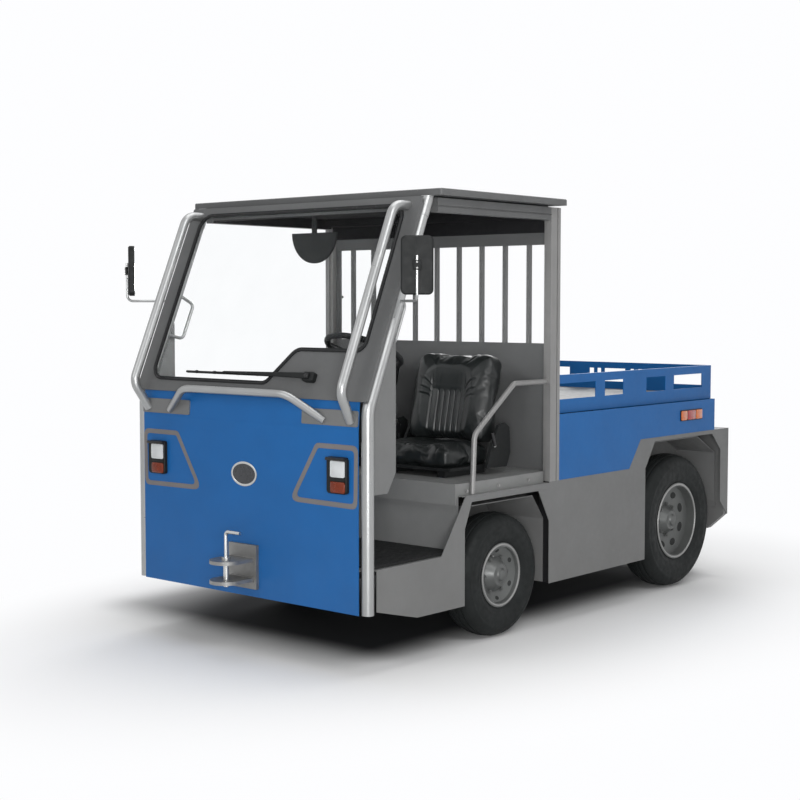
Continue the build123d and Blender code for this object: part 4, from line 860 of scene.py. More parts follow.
class Dress:
    """Gives every CAD node its finish, by its slot or by its own name."""

    BY_SLOT = {
        Slot.BLUE: Finishes.BLUE, Slot.GREY: Finishes.GREY, Slot.TUBE: Finishes.TUBE,
        Slot.PLASTIC: Finishes.PLASTIC, Slot.LENS: Finishes.CLEAR, Slot.GLASS: Finishes.GLASS,
        Slot.RUBBER: Finishes.RUBBER, Slot.TYRE: Finishes.TYRE, Slot.RIM: Finishes.RIM,
        Slot.VINYL: Finishes.VINYL, Slot.UNDER: Finishes.UNDER, Slot.STEEL: Finishes.STEEL,
    }
    BY_NAME = {
        Finishes.SHADED_GREY: ("roof_plate", "roof_frame", "windscreen_frame", "rear_wall"),
        Finishes.LIT_GREY: ("seat_platform",),
        Finishes.PLASTIC: ("headlamps", "marker_lamps", "cab_mirror", "seat_bases", "dashboard"),
        Finishes.GREY: ("wheel_wells",),
        Finishes.POST: ("rear_posts",),
        Finishes.BRIGHT: ("front_hitch_pin", "rear_hitch_pin"),
    }

    def build(self) -> None:
        """Assigns the finishes."""
        looks = {p["node"]: self.BY_SLOT[Slot(p["material_slot"])]
                 for p in frame["record"]["subparts"]}
        looks.update({name: look for look, names in self.BY_NAME.items() for name in names})
        for name, node in frame["nodes"].items():
            node.data.materials.clear()
            node.data.materials.append(material(looks[name]))


@dataclass
class Wheel:
    """One wheel's tyre and rim details.

    Args:
        corner: the wheel's name, such as front_left.
        side: 1 on the left and -1 on the right.
        station: the axle's station.
        centre_x: the wheel's centre from the middle plane.
        radius: outer radius.
        half: half of the section's width.
        rim: the rim's radius.
        rim_half: half of the rim's width.
        ribs: how many ribs the tread has.
        studs: how many wheel nuts.
        dish: depth of the disc from the centre plane, outwards.
    """

    corner: str
    side: int
    station: float
    centre_x: float
    radius: float
    half: float
    rim: float
    rim_half: float
    ribs: int
    studs: int
    dish: float

    TREAD_SHARE = 0.74
    CROWN_SHARE = 0.055
    GROOVE = 0.008
    GROOVE_DEPTH = 0.009
    RIB_EDGE = 0.002
    RIB_DROP = 0.0012
    VALLEY_R = 0.084
    DISC_EDGE = 0.011
    STUD_R = 0.088
    VALVE_TURN = 2.2
    WALL = (
        # share of the wall's height, share of the bulge
        (0.0, 0.0), (0.05, 0.30), (0.12, 0.52), (0.2, 0.70), (0.22, 0.745), (0.27, 0.80),
        (0.29, 0.79), (0.4, 0.93), (0.52, 1.0), (0.64, 0.985), (0.72, 0.93), (0.735, 0.955),
        (0.79, 0.90), (0.805, 0.86), (0.88, 0.66), (0.94, 0.40), (0.985, 0.12),
    )
    CAP = (
        # radius, height above the disc
        (0.0, 0.046), (0.018, 0.045), (0.027, 0.040), (0.031, 0.031), (0.034, 0.0285),
        (0.040, 0.0275),
    )

    @property
    def place(self) -> Matrix:
        """The wheel's centre, local Z pointing outwards."""
        centre = (self.side * self.centre_x, y_at(self.station), self.radius)
        return facing(centre, (self.side, 0, 0))

    def build(self) -> None:
        """Makes the tyre and the rim's details."""
        self._tyre()
        self._rim_details()

    def _crown(self, height: float) -> float:
        """Radius of the tread at this height from the middle."""
        share = abs(height) / (self.TREAD_SHARE * self.half)
        drop = self.CROWN_SHARE * self.radius - 0.004
        return self.radius - 0.002 - drop * share ** 2.4

    def _tread(self) -> list[Pair]:
        """Tread profile across the crown, from the inner to the outer shoulder."""
        shoulder = self.TREAD_SHARE * self.half
        width = 2 * shoulder / self.ribs
        points = []
        for i in range(self.ribs):
            last = i == self.ribs - 1
            left = -shoulder + i * width + (self.GROOVE / 2 if i else 0)
            right = -shoulder + (i + 1) * width - (0 if last else self.GROOVE / 2)
            points += [
                (self._crown(left) - self.RIB_DROP, left),
                (self._crown(left + self.RIB_EDGE), left + self.RIB_EDGE),
                (self._crown((left + right) / 2), (left + right) / 2),
                (self._crown(right - self.RIB_EDGE), right - self.RIB_EDGE),
                (self._crown(right) - self.RIB_DROP, right),
            ]
            if not last:
                bottom = self._crown(right) - self.GROOVE_DEPTH
                points += [(bottom, right + 0.0016), (bottom, right + self.GROOVE - 0.0016)]
        return points

    def _tyre(self) -> None:
        """A ribbed tyre with moulded side walls."""
        piece = Piece(f"tread_{self.corner}")
        bead_r = self.rim + 0.013
        height = self.radius - self.CROWN_SHARE * self.radius - bead_r
        tread_half = self.TREAD_SHARE * self.half
        base = self.rim_half - 0.002
        wall = []
        for share, bulge in self.WALL:
            edge = base + (tread_half - base) * share
            wall.append((bead_r + height * share, edge + (self.half - edge - 0.001) * bulge))
        seat = [(self.rim - 0.001, base), (bead_r - 0.006, base + 0.004)]
        inner = [(r, -h) for r, h in seat + wall]
        profile = inner + self._tread() + wall[::-1] + seat[::-1]
        piece.lathe(profile + profile[:1], self.place, Finishes.TYRE, steps=96)
        piece.done(f"wheel_{self.corner}", angle=28,
                   replaces=(f"tyre_{self.corner}",))

    def _disc_height(self, radius: float) -> float:
        """Height of the rim's outer cone at this radius."""
        share = (radius - self.VALLEY_R) / (self.rim - self.DISC_EDGE - self.VALLEY_R)
        return self.dish - 0.012 + 0.026 * share

    def _hand_hole(self, piece: Piece, angle: float) -> None:
        """A dark oval that follows the disc's cone, inside a thin raised lip; its darkness is
        painted shade for the open hole.
        """
        middle = (self.VALLEY_R + self.rim - self.DISC_EDGE) / 2 + 0.006
        tall = (self.rim - self.VALLEY_R) * 0.15

        def ring(grow: float) -> list[tuple[float, float, float]]:
            """The oval's outline on the cone, grown by this much."""
            points = []
            for across, up in ellipse(tall * 1.6 + grow, tall + grow, 24):
                radius = middle + up
                turn = angle + across / middle
                points.append((radius * math.cos(turn), radius * math.sin(turn),
                               self._disc_height(radius)))
            return points

        piece.loft([ring(0.0030), ring(0.0016), ring(0.0)], [0.0002, 0.0012, 0.0005],
                   self.place, Finishes.RIM, caps=(False, False))
        piece.loft([ring(0.0001), ring(-0.0010)], [0.0004, 0.0005], self.place,
                   Finishes.HOLE_SHADE, caps=(False, True))

    def _rim_details(self) -> None:
        """Bright flange roll, hub cap, nuts, hand holes and valve."""
        piece = Piece(f"rim_trim_{self.corner}")
        flange = bead(self.rim + 0.003, self.rim_half + 0.0045, 0.0055, 0.004, 10)
        piece.lathe(flange, self.place, Finishes.ZINC, steps=72)
        cap = [(radius, self.dish + rise) for radius, rise in self.CAP]
        piece.lathe(cap, self.place, Finishes.RIM, steps=40)
        for i in range(self.studs):
            spoke = turned(self.place, 2 * math.pi * i / self.studs)
            spot = moved(spoke, self.STUD_R, 0, self.dish - 0.013)
            piece.cylinder(0.0088, 0.015, spot, Finishes.RIM, sides=6, bevel=0.001)
            piece.cylinder(0.0045, 0.019, spot, Finishes.RIM, sides=12)
            self._hand_hole(piece, 2 * math.pi * (i + 0.5) / self.studs)
        valve_r = self.rim - 0.018
        spot = moved(turned(self.place, self.VALVE_TURN), valve_r, 0,
                     self._disc_height(valve_r) - 0.002)
        piece.cylinder(0.0045, 0.022, spot, Finishes.RUBBER, top_radius=0.0035, sides=14)
        piece.cylinder(0.0037, 0.008, moved(spot, z=0.021), Finishes.ZINC, sides=12)
        piece.done(f"wheel_{self.corner}")


AXLES = (
    # name, station, centre_x, radius, half, rim, rim_half, ribs, studs, dish
    ("front", FRONT_AXLE, 0.6275, 0.297, 0.0875, 0.142, 0.066, 4, 6, 0.042),
    ("rear", REAR_AXLE, 0.6175, 0.373, 0.0975, 0.200, 0.076, 5, 8, 0.020),
)


class Wheels:
    """All four wheels."""

    def build(self) -> None:
        """Makes the wheels of both axles."""
        for name, *sizes in AXLES:
            for label, side in SIDES:
                Wheel(f"{name}_{label}", side, *sizes).build()


@dataclass
class Seat:
    """One padded seat part, swollen by cloth pressure.

    Args:
        name: the piece's name.
        width: size across.
        length: size along the sitting surface.
        thickness: size through the padding in the hollow.
        bolster: how far the side rolls stand above the hollow.
        header: share of the length, from the middle, where the hollow ends.
        span: the channels' run, as shares of the length.
        seam: the long seams' offset from the centre.
        creases: how deep the folds on the side rolls are.
    """

    name: str
    width: float
    length: float
    thickness: float
    bolster: float
    header: float
    span: Pair
    seam: float
    creases: float

    CHANNELS = (-0.068, -0.034, 0.0, 0.034, 0.068)
    FILL = 0.7
    VOXEL = 0.006
    MOST_SWELL = 0.024
    SHRINK = 0.965
    CLOTH = {
        "quality": 4, "mass": 0.3, "use_pressure": True, "uniform_pressure_force": 4.0,
        "tension_stiffness": 18, "compression_stiffness": 18, "shear_stiffness": 8,
        "bending_stiffness": 3.0,
    }
    FRAMES = 20
    # start along the length and slope of each fold on a side roll
    FOLDS = ((-0.012, 0.30), (0.012, 0.45), (0.042, 0.75))

    def surface(self, u: float, v: float) -> float:
        """Height of the top face above the hollow, by share across and along."""
        across = 1.0 - eased(abs(u), 0.28, 0.80)
        along = 1.0 - 0.75 * eased(v, self.header - 0.9, self.header)
        fall = 1.0 - 0.30 * eased(v, 0.3, 1.0)
        return self.bolster * (1.0 - across * along) * fall

    def shape(self) -> bpy.types.Mesh:
        """The starting form, a little smaller than the finished pad."""
        mesh = bmesh.new()
        bmesh.ops.create_cube(mesh, size=2.0)
        bmesh.ops.subdivide_edges(mesh, edges=mesh.edges[:], cuts=15, use_grid_fill=True)
        for vert in mesh.verts:
            u, v, w = vert.co
            # The square outline is drawn in to a rounded one
            ru = u * math.sqrt(1 - 0.16 * v ** 6 * u * u)
            rv = v * math.sqrt(1 - 0.14 * u ** 6 * v * v)
            edge = max(abs(u), abs(v)) ** 7
            thick = self.thickness / 2 * (1 - 0.30 * edge)
            z = w * thick * 0.90
            if w > 0:
                z += self.surface(u, v) * w * (1 - 0.25 * edge)
            vert.co = (ru * self.width / 2 * self.SHRINK, rv * self.length / 2 * self.SHRINK, z)
        data = bpy.data.meshes.new(self.name)
        mesh.to_mesh(data)
        mesh.free()
        return data

    def simulate(self, made: bpy.types.Object) -> None:
        """Swells the pad with cloth pressure and caps how far it moves."""
        scene = bpy.context.scene
        cloth = made.modifiers.new("swell", "CLOTH")
        for name, value in self.CLOTH.items():
            setattr(cloth.settings, name, value)
        cloth.settings.effector_weights.gravity = 0.0
        cloth.point_cache.frame_start = 1
        cloth.point_cache.frame_end = self.FRAMES
        for number in range(1, self.FRAMES + 1):
            scene.frame_set(number)
        swollen = made.evaluated_get(bpy.context.evaluated_depsgraph_get())
        grown = [v.co.copy() for v in swollen.to_mesh().vertices]
        swollen.to_mesh_clear()
        made.modifiers.remove(cloth)
        scene.frame_set(1)
        for vert, new in zip(made.data.vertices, grown):
            step = new - vert.co
            if step.length > self.MOST_SWELL:
                step = step.normalized() * self.MOST_SWELL
            vert.co = vert.co + step

    def sew(self, data: bpy.types.Mesh) -> None:
        """Presses the sewn channels, seams and folds into the top face."""
        low, high = (self.length * (s - 0.5) for s in self.span)
        for vert in data.vertices:
            x, y, z = vert.co
            if z < 0.0:
                continue
            ends = eased(y, low - 0.004, low + 0.016) * (1 - eased(y, high - 0.016, high + 0.004))
            below = 1 - eased(y, high + 0.02, high + 0.10)
            inside = 1 - eased(abs(x), self.seam - 0.010, self.seam + 0.002)
            dent = self.creases * self._folds(abs(x) - self.seam, y)
            for middle in self.CHANNELS:
                dent += pressed(x - middle, 0.0052, 0.0036) * ends
                dent += pressed(x - middle, 0.0030, 0.011) * ends
            for middle in (-self.seam, self.seam):
                dent += pressed(x - middle, 0.0040, 0.0045) * below
            dent += pressed(y - low, 0.0040, 0.0042) * inside
            dent += pressed(y - high, 0.0018, 0.0080) * inside
            vert.co.z = z - dent

    def _folds(self, out: float, y: float) -> float:
        """Depth share of the folds that fan over a side roll, past the long seam."""
        window = eased(out, -0.004, 0.012) * (1 - eased(out, 0.045, 0.080))
        depth = 0.0
        for start, slope in self.FOLDS:
            line = start + slope * out + 0.004 * math.sin(out * 60)
            depth += pressed(y - line, 1.0, 0.0046) - pressed(y - line - 0.011, 0.5, 0.0070)
        return depth * window

    def build(self, place: Matrix, replaces: str) -> None:
        """Makes the pad and its mirror image.

        Args:
            place: the pad's middle, local Z out of the sitting surface.
            replaces: the CAD node that the pads stand for.
        """
        made = bpy.data.objects.new(self.name + "_left", self.shape())
        bpy.context.scene.collection.objects.link(made)
        self._baked(made, "REMESH", mode="VOXEL", voxel_size=self.VOXEL)
        self.simulate(made)
        self._baked(made, "SMOOTH", factor=0.5, iterations=5)
        self._baked(made, "SUBSURF", levels=1, render_levels=1)
        self.sew(made.data)
        made.data.transform(place)
        twin = bpy.data.objects.new(self.name + "_right", made.data.copy())
        bpy.context.scene.collection.objects.link(twin)
        twin.data.transform(Matrix.Diagonal((-1, 1, 1, 1)))
        twin.data.flip_normals()
        for piece in (made, twin):
            piece.data.materials.clear()
            piece.data.materials.append(material(Finishes.VINYL))
            piece.data.polygons.foreach_set("use_smooth", [True] * len(piece.data.polygons))
            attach(piece, "chassis")
            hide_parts(replaces)

    @staticmethod
    def _baked(made: bpy.types.Object, kind: str, **settings: object) -> None:
        """Applies one modifier to the object's mesh."""
        modifier = made.modifiers.new(kind.lower(), kind)
        for name, value in settings.items():
            setattr(modifier, name, value)
        graph = bpy.context.evaluated_depsgraph_get()
        baked = bpy.data.meshes.new_from_object(made.evaluated_get(graph))
        made.modifiers.clear()
        made.data = baked


class Seats:
    """Both seats' padding, levers and belt buckles."""

    BACK_LEAN = math.radians(12)
    CUSHION = (SEAT_X, y_at(0.950), PLATFORM_TOP + 0.090)
    BACK_FOOT = (SEAT_X, y_at(1.045), PLATFORM_TOP + 0.139)
    PIVOT_STATION = 1.072
    PIVOT_Z = 0.905
    BUCKLE_FOOT = (0.064, y_at(1.035), 0.800)
    BUCKLE_HEAD = (0.054, y_at(1.005), 0.945)

    def build(self) -> None:
        """Makes the four pads and the hard parts round them."""
        cushion = Seat("cushion_pad", width=0.480, length=0.370, thickness=0.084, bolster=0.012,
                       header=3.0, span=(0.14, 0.86), seam=0.150, creases=0.0)
        cushion.build(Matrix.Translation(self.CUSHION), "seat_cushions")
        back = Seat("back_pad", width=0.498, length=0.462, thickness=0.095, bolster=0.043,
                    header=0.92, span=(0.03, 0.57), seam=0.104, creases=0.0034)
        lean = self.BACK_LEAN
        normal = Vector((0, -math.cos(lean), math.sin(lean)))
        up = Vector((0, math.sin(lean), math.cos(lean)))
        middle = Vector(self.BACK_FOOT) + up * 0.230 - normal * back.thickness / 2
        back.build(facing(middle, normal, up), "seat_backs")
        self._levers()
        self._buckles()

    def _levers(self) -> None:
        """Recliner handles on the outer covers, with their pivot caps."""
        piece = Piece("recliner_levers")
        pivot = facing((0.6052, y_at(self.PIVOT_STATION), self.PIVOT_Z), (1, 0, 0))
        piece.cylinder(0.022, 0.0040, pivot, Finishes.PLASTIC, sides=32, bevel=0.0012)
        piece.cylinder(0.010, 0.0075, pivot, Finishes.ZINC, bevel=0.0015)
        grip = facing((0.611, y_at(self.PIVOT_STATION), self.PIVOT_Z), (0, -0.35, 0.94))
        piece.slab(rounded(0.012, 0.020, 0.005), 0.066, grip, Finishes.GLOSS_BLACK, bevel=0.003)
        piece.done(mirrored=True)

    def _buckles(self) -> None:
        """Belt buckles on short stalks at the seats' inner sides."""
        piece = Piece("belt_buckles")
        foot = Vector(self.BUCKLE_FOOT)
        head = Vector(self.BUCKLE_HEAD)
        along = (head - foot).normalized()
        piece.tube([foot, head], 0.0065, Finishes.PLASTIC)
        for rise, wide, tall, radius, thick, finish, bevel in (
                (0.020, 0.030, 0.052, 0.007, 0.016, Finishes.GLOSS_BLACK, 0.002),
                (0.052, 0.026, 0.022, 0.005, 0.0030, Finishes.BRIGHT, 0.0008)):
            middle = facing(head + along * rise, (1, 0, 0), along)
            piece.slab(rounded(wide, tall, radius), thick, moved(middle, z=-thick / 2), finish,
                       bevel=bevel)
        piece.done(mirrored=True)


class Headlamps:
    """Two headlamp units with a clear lens over an amber one."""

    X = 0.586
    Z = 0.855
    WIDTH = 0.116
    HEIGHT = 0.158
    PROUD = 0.024
    LENS_OUT = 0.010
    LENS_WIDTH = 0.084
    LENS_RADIUS = 0.010
    LENS_DRAW = 0.007
    CLEAR_Z = 0.029
    CLEAR_HEIGHT = 0.072
    CLEAR_DEPTHS = (0.0212, 0.0236, 0.0262)
    AMBER_Z = -0.050
    AMBER_HEIGHT = 0.048
    AMBER_DEPTHS = (0.010, 0.0225, 0.0255)
    BOWL = (
        # width, height, corner radius, depth
        (0.083, 0.071, 0.009, 0.0205), (0.068, 0.056, 0.012, 0.0165),
        (0.046, 0.038, 0.014, 0.0145), (0.024, 0.022, 0.010, 0.0138),
    )

    def build(self) -> None:
        """Makes both units."""
        for label, side in SIDES:
            place = facing((side * self.X, y_at(0.0), self.Z), (0, -1, 0))
            shifted = moved(place, self.LENS_OUT)
            self._housing(place, shifted, label)
            self._lenses(shifted, label)

    def _housing(self, place: Matrix, shifted: Matrix, label: str) -> None:
        """Black shell with a cap, a divider, the reflector and the bulb."""
        piece = Piece(f"lamp_housing_{label}")
        face = self.PROUD - 0.004
        outer = rounded(self.WIDTH, self.HEIGHT, 0.014)
        lip = rounded(self.WIDTH - 0.006, self.HEIGHT - 0.006, 0.012)
        mouth = [(x + self.LENS_OUT, y - 0.006)
                 for x, y in rounded(self.LENS_WIDTH + 0.001, 0.139, 0.010)]
        piece.loft([outer, outer, lip, mouth, mouth], [0.0005, face - 0.004, face, face, 0.002],
                   place, Finishes.PLASTIC, caps=(False, True))
        piece.slab(rounded(self.WIDTH - 0.006, 0.014, 0.005), self.PROUD + 0.007,
                   moved(place, y=self.HEIGHT / 2 - 0.008, z=0.001), Finishes.GLOSS_BLACK,
                   bevel=0.003)
        piece.box((self.LENS_WIDTH, 0.016, 0.020), moved(shifted, y=-0.0165, z=0.0125),
                  Finishes.PLASTIC, 0.002)
        bowl = moved(shifted, y=self.CLEAR_Z)
        piece.loft([rounded(*size) for *size, _ in self.BOWL], [ring[-1] for ring in self.BOWL],
                   bowl, Finishes.REFLECTOR, caps=(False, True))
        piece.cylinder(0.0070, 0.0052, moved(bowl, z=0.0135), Finishes.GLOSS_BLACK,
                       top_radius=0.0060, sides=16, bevel=0.001)
        for degrees in (0, 90):
            bar = moved(turned(bowl, math.radians(degrees)), z=0.0175)
            piece.box((0.060, 0.0024, 0.0022), bar, Finishes.STEEL, 0.0)
        piece.done(replaces=("headlamps",))

    def _lenses(self, shifted: Matrix, label: str) -> None:
        """The clear upper lens and the ribbed amber lower one."""
        clear = Piece(f"lamp_clear_{label}")
        clear.crowned(self.LENS_WIDTH, self.CLEAR_HEIGHT, self.LENS_RADIUS, self.LENS_DRAW,
                      self.CLEAR_DEPTHS, moved(shifted, y=self.CLEAR_Z), Finishes.CLEAR)
        clear.done(replaces=("headlamps",))
        amber = Piece(f"lamp_amber_{label}")
        spot = moved(shifted, y=self.AMBER_Z)
        amber.crowned(self.LENS_WIDTH, self.AMBER_HEIGHT, self.LENS_RADIUS, self.LENS_DRAW,
                      self.AMBER_DEPTHS, spot, Finishes.DARK_AMBER)
        amber.ribs(5, (self.LENS_WIDTH - 0.012, 0.0022, 0.0020), moved(spot, z=0.0254),
                   Finishes.DARK_AMBER, 0.0005)
        amber.done(replaces=("headlamps",))


class FrontTrim:
    """Stripes and bare disc of the front panel."""

    STRIPE_CORNERS = ((0.685, 0.976), (0.456, 0.976), (0.304, 0.730), (0.680, 0.726))
    STRIPE_WIDTH = 0.022
    STRIPE_HEIGHTS = (0.0001, 0.0009)
    DISC_Z = 0.817
    DISC_RING = (
        # half width, half height, height above the panel
        (0.083, 0.056, 0.0002), (0.083, 0.056, 0.003), (0.081, 0.054, 0.0042),
        (0.075, 0.048, 0.0042), (0.073, 0.046, 0.0030),
    )
    DISC_FACE = ((0.0735, 0.0465, 0.0020), (0.060, 0.036, 0.0034), (0.030, 0.018, 0.0038))

    def build(self) -> None:
        """Makes the flat trim of the front."""
        self._stripes()
        self._disc()

    def _stripes(self) -> None:
        """Polygon outlines round the headlamps."""
        piece = Piece("lamp_stripes")
        outer, inner = (round_corners(drawn_in(self.STRIPE_CORNERS, side * self.STRIPE_WIDTH / 2),
                                      (radius,), 5)
                        for side, radius in ((-1, 0.034), (1, 0.020)))
        low, high = self.STRIPE_HEIGHTS
        piece.loft([outer, outer, inner, inner], [low, high, high, low],
                   facing((0, y_at(0.0), 0), (0, -1, 0)), Finishes.STRIPE,
                   caps=(False, False), closed=True)
        piece.done(mirrored=True)

    def _disc(self) -> None:
        """A bare oval disc in a bright ring."""
        piece = Piece("front_disc")
        place = facing((0, y_at(0.0), self.DISC_Z), (0, -1, 0))
        for rows, finish, capped in ((self.DISC_RING, Finishes.BRIGHT, False),
                                     (self.DISC_FACE, Finishes.BADGE, True)):
            piece.loft([ellipse(a, b) for a, b, _ in rows], [row[2] for row in rows], place,
                       finish, caps=(False, capped))
        piece.done()


class ScreenTrim:
    """The seal's locking strip, the wiper and the guard's painted feet."""

    WIPER_Z = 1.262
    PIVOT_X = 0.392
    BLADE = (-0.410, 0.150)
    STRIP = (
        # inset from the opening, height above the seal
        (0.0050, -0.0002), (0.0062, 0.0010), (0.0100, 0.0010), (0.0112, -0.0002),
    )
    FOOT_SIZE = (0.3288, 0.0688)
    FOOT_PLACE = (0.531, 0.050, 0.0059)

    def build(self) -> None:
        """Makes the screen's trim."""
        self._strip()
        self._wiper()
        self._feet()

    def _strip(self) -> None:
        """A glossy strip that locks the rubber round the glass."""
        piece = Piece("seal_strip")
        piece.loft([Screen.outline(inset) for inset, _ in self.STRIP],
                   [SEAL_FRONT + rise for _, rise in self.STRIP], Screen.place(),
                   Finishes.GLOSS_BLACK, caps=(False, False))
        piece.done()

    def _wiper(self) -> None:
        """Pivot cover, tapered arm and thin blade, parked along the bottom."""
        piece = Piece("wiper_parts")
        base = Screen.at(0, self.WIPER_Z, SHEET_FRONT)
        cover = moved(base, self.PIVOT_X, z=0.0003)
        piece.slab(rounded(0.066, 0.044, 0.012), 0.026, cover, Finishes.PLASTIC, bevel=0.006,
                   segments=3)
        piece.cylinder(0.012, 0.012, moved(cover, z=0.025), Finishes.GLOSS_BLACK, bevel=0.002)
        left, right = self.BLADE
        length = right - left
        start = self.PIVOT_X + 0.012
        end = (left + right) / 2
        arm = [(start, 0.013), (end + 0.25, 0.008), (end, 0.004), (end - 0.012, 0.0),
               (end, -0.004), (end + 0.25, -0.008), (start, -0.013)]
        piece.slab(arm, 0.008, moved(base, z=0.028), Finishes.PLASTIC, bevel=0.002)
        middle = moved(base, end)
        for size, rise, finish, bevel in (
                ((length, 0.005, 0.012), 0.0085, Finishes.RUBBER, 0.001),
                ((length - 0.01, 0.010, 0.006), 0.0165, Finishes.PLASTIC, 0.0015),
                ((length * 0.30, 0.006, 0.006), 0.0245, Finishes.PLASTIC, 0.0015)):
            piece.box(size, moved(middle, z=rise), finish, bevel)
        for share in (-0.36, -0.14, 0.14, 0.36):
            piece.box((0.016, 0.014, 0.009), moved(middle, length * share, z=0.0175),
                      Finishes.PLASTIC, 0.002)
        piece.done(replaces=("wiper",))

    def _feet(self) -> None:
        """Grey paint on the guard's foot plates."""
        lean = math.atan2(COWL_LEAN, COWL_TOP - FOLD_Z)
        band = facing((0, y_at(0.0), FOLD_Z), (0, -math.cos(lean), math.sin(lean)))
        piece = Piece("guard_feet")
        piece.slab(rounded(*self.FOOT_SIZE, 0.008), 0.0005, moved(band, *self.FOOT_PLACE),
                   Finishes.GREY)
        piece.done(mirrored=True)


class SteeringWheel:
    """Rim, three spokes and a hub with a blank cap."""

    TILT = math.radians(25)
    AXIS = Vector((0, math.sin(TILT), math.cos(TILT)))
    CENTRE = Vector((SEAT_X, y_at(0.450), 1.368))
    RIM_R = 0.176
    GRIP_R = 0.0138
    HUB = (
        # radius, height along the axis
        (0.0, -0.056), (0.0198, -0.056), (0.0198, -0.048), (0.0458, -0.048),
        (0.0440, -0.038), (0.0375, -0.012), (0.0345, -0.0085), (0.0, -0.0080),
    )
    CAP = ((0.0300, -0.0082), (0.0290, -0.0058), (0.0230, -0.0046), (0.0, -0.0040))

    def build(self) -> None:
        """Makes the wheel on its own body."""
        place = facing(self.CENTRE, self.AXIS, (0, 1, 0))
        piece = Piece("steering_wheel_trim")
        grip = bead(self.RIM_R, 0.0, self.GRIP_R, self.GRIP_R, 16)
        piece.lathe(grip, place, Finishes.RUBBER, steps=80)
        piece.lathe(self.HUB, place, Finishes.PLASTIC, steps=40)
        piece.lathe(self.CAP, place, Finishes.GLOSS_BLACK, steps=36)
        for degrees in (90, 210, 330):
            out = Vector((math.cos(math.radians(degrees)), math.sin(math.radians(degrees)), 0.0))
            root = out * 0.020 + Vector((0, 0, -0.030))
            tip = out * self.RIM_R
            spoke = facing((root + tip) / 2, tip - root, (0, 0, 1))
            piece.box((0.030, 0.0075, (tip - root).length), place @ spoke, Finishes.PLASTIC, 0.0025)
        piece.done("steering_wheel", replaces=("steering_wheel",))


class Dashboard:
    """Two dials, tell-tales, switches, key and column stalk on the console."""

    SLOPE = facing((SEAT_X, y_at(0.215), 1.2945), (0, 0.354, 0.935), (0, -1, 0))
    FACE = facing((SEAT_X, y_at(0.325), 1.2262), (0, 0.821, 0.570), (0, -1, 1))
    DIAL_X = 0.062
    DIAL_RING = (
        # radius, height above the console
        (0.0430, -0.001), (0.0430, 0.0035), (0.0400, 0.0055), (0.0375, 0.0050),
        (0.0365, 0.0010),
    )
    TELL_TALES = (Finishes.RED, Finishes.AMBER, Finishes.GREEN, Finishes.DIAL)
    SWITCHES = 4
    # steps to the left of the column, and up along it
    STALK = ((0.020, 0.0), (0.080, 0.010), (0.145, 0.030))

    def build(self) -> None:
        """Makes the console's fittings."""
        piece = Piece("console_fittings")
        for x in (-self.DIAL_X, self.DIAL_X):
            self._dial(piece, moved(self.SLOPE, x))
        for i, finish in enumerate(self.TELL_TALES):
            piece.cylinder(0.0055, 0.0022, moved(self.SLOPE, 0.135, 0.030 - 0.020 * i), finish,
                           sides=18, bevel=0.0006)
        for i in range(self.SWITCHES):
            spot = moved(self.FACE, -0.150 + 0.034 * i)
            piece.box((0.026, 0.046, 0.004), spot, Finishes.PLASTIC)
            rocker = spot @ Matrix.Rotation(math.radians(8), 4, "X")
            piece.box((0.019, 0.036, 0.010), rocker, Finishes.GLOSS_BLACK)
        lock = moved(self.FACE, 0.145)
        piece.cylinder(0.013, 0.005, lock, Finishes.BRIGHT, sides=28, bevel=0.001)
        piece.box((0.0026, 0.022, 0.024), moved(lock, z=0.014), Finishes.BRIGHT, 0.0006)
        self._stalk(piece)
        piece.done()

    def _dial(self, piece: Piece, place: Matrix) -> None:
        """A round instrument with plain ticks and a pointer."""
        piece.lathe(self.DIAL_RING, place, Finishes.GLOSS_BLACK, steps=48)
        piece.cylinder(0.0370, 0.0012, place, Finishes.DIAL, sides=48)
        for k in range(9):
            tick = moved(turned(place, math.radians(-120 + 30 * k)), y=0.031, z=0.0013)
            piece.box((0.0014, 0.0065, 0.0004), tick, Finishes.WHITE, 0.0)
        hand = moved(turned(place, math.radians(62)), y=0.012, z=0.0022)
        piece.box((0.0018, 0.032, 0.0008), hand, Finishes.WHITE, 0.0)
        piece.cylinder(0.0045, 0.0032, place, Finishes.GLOSS_BLACK, sides=18)

    def _stalk(self, piece: Piece) -> None:
        """The indicator stalk on the column's left."""
        root = SteeringWheel.CENTRE - SteeringWheel.AXIS * 0.092
        path = [root + Vector((out, 0, 0)) + SteeringWheel.AXIS * up for out, up in self.STALK]
        piece.tube(path, 0.0045, Finishes.PLASTIC, bend=0.02)
        tip = facing(path[-1], path[-1] - path[-2])
        piece.cylinder(0.0062, 0.026, tip, Finishes.GLOSS_BLACK, top_radius=0.0080, sides=18,
                       bevel=0.002)


class Mirrors:
    """Mirror glass and clamps of the two outer heads."""

    TURN = math.radians(39)
    MIDDLE = Vector((0.935, y_at(0.100), 1.745))
    WIDTH = 0.122
    HEIGHT = 0.230

    def build(self) -> None:
        """Makes the glass and the clamps."""
        view = Vector((-math.sin(self.TURN), math.cos(self.TURN), 0))
        glass = Piece("mirror_glass")
        glass.slab(rounded(self.WIDTH, self.HEIGHT, 0.017), 0.0016,
                   facing(self.MIDDLE + view * 0.0361, view), Finishes.MIRROR, bevel=0.0006)
        glass.done(mirrored=True)
        clamps = Piece("mirror_clamps")
        back = facing(self.MIDDLE + view * 0.0005, -view)
        clamps.box((0.034, 0.040, 0.013), moved(back, z=0.0035), Finishes.PLASTIC, 0.003)
        for rise in (-0.012, 0.012):
            clamps.bolt(back @ Vector((0, rise, 0.0100)), -view, 0.005, Finishes.ZINC, False)
        clamps.done(mirrored=True)


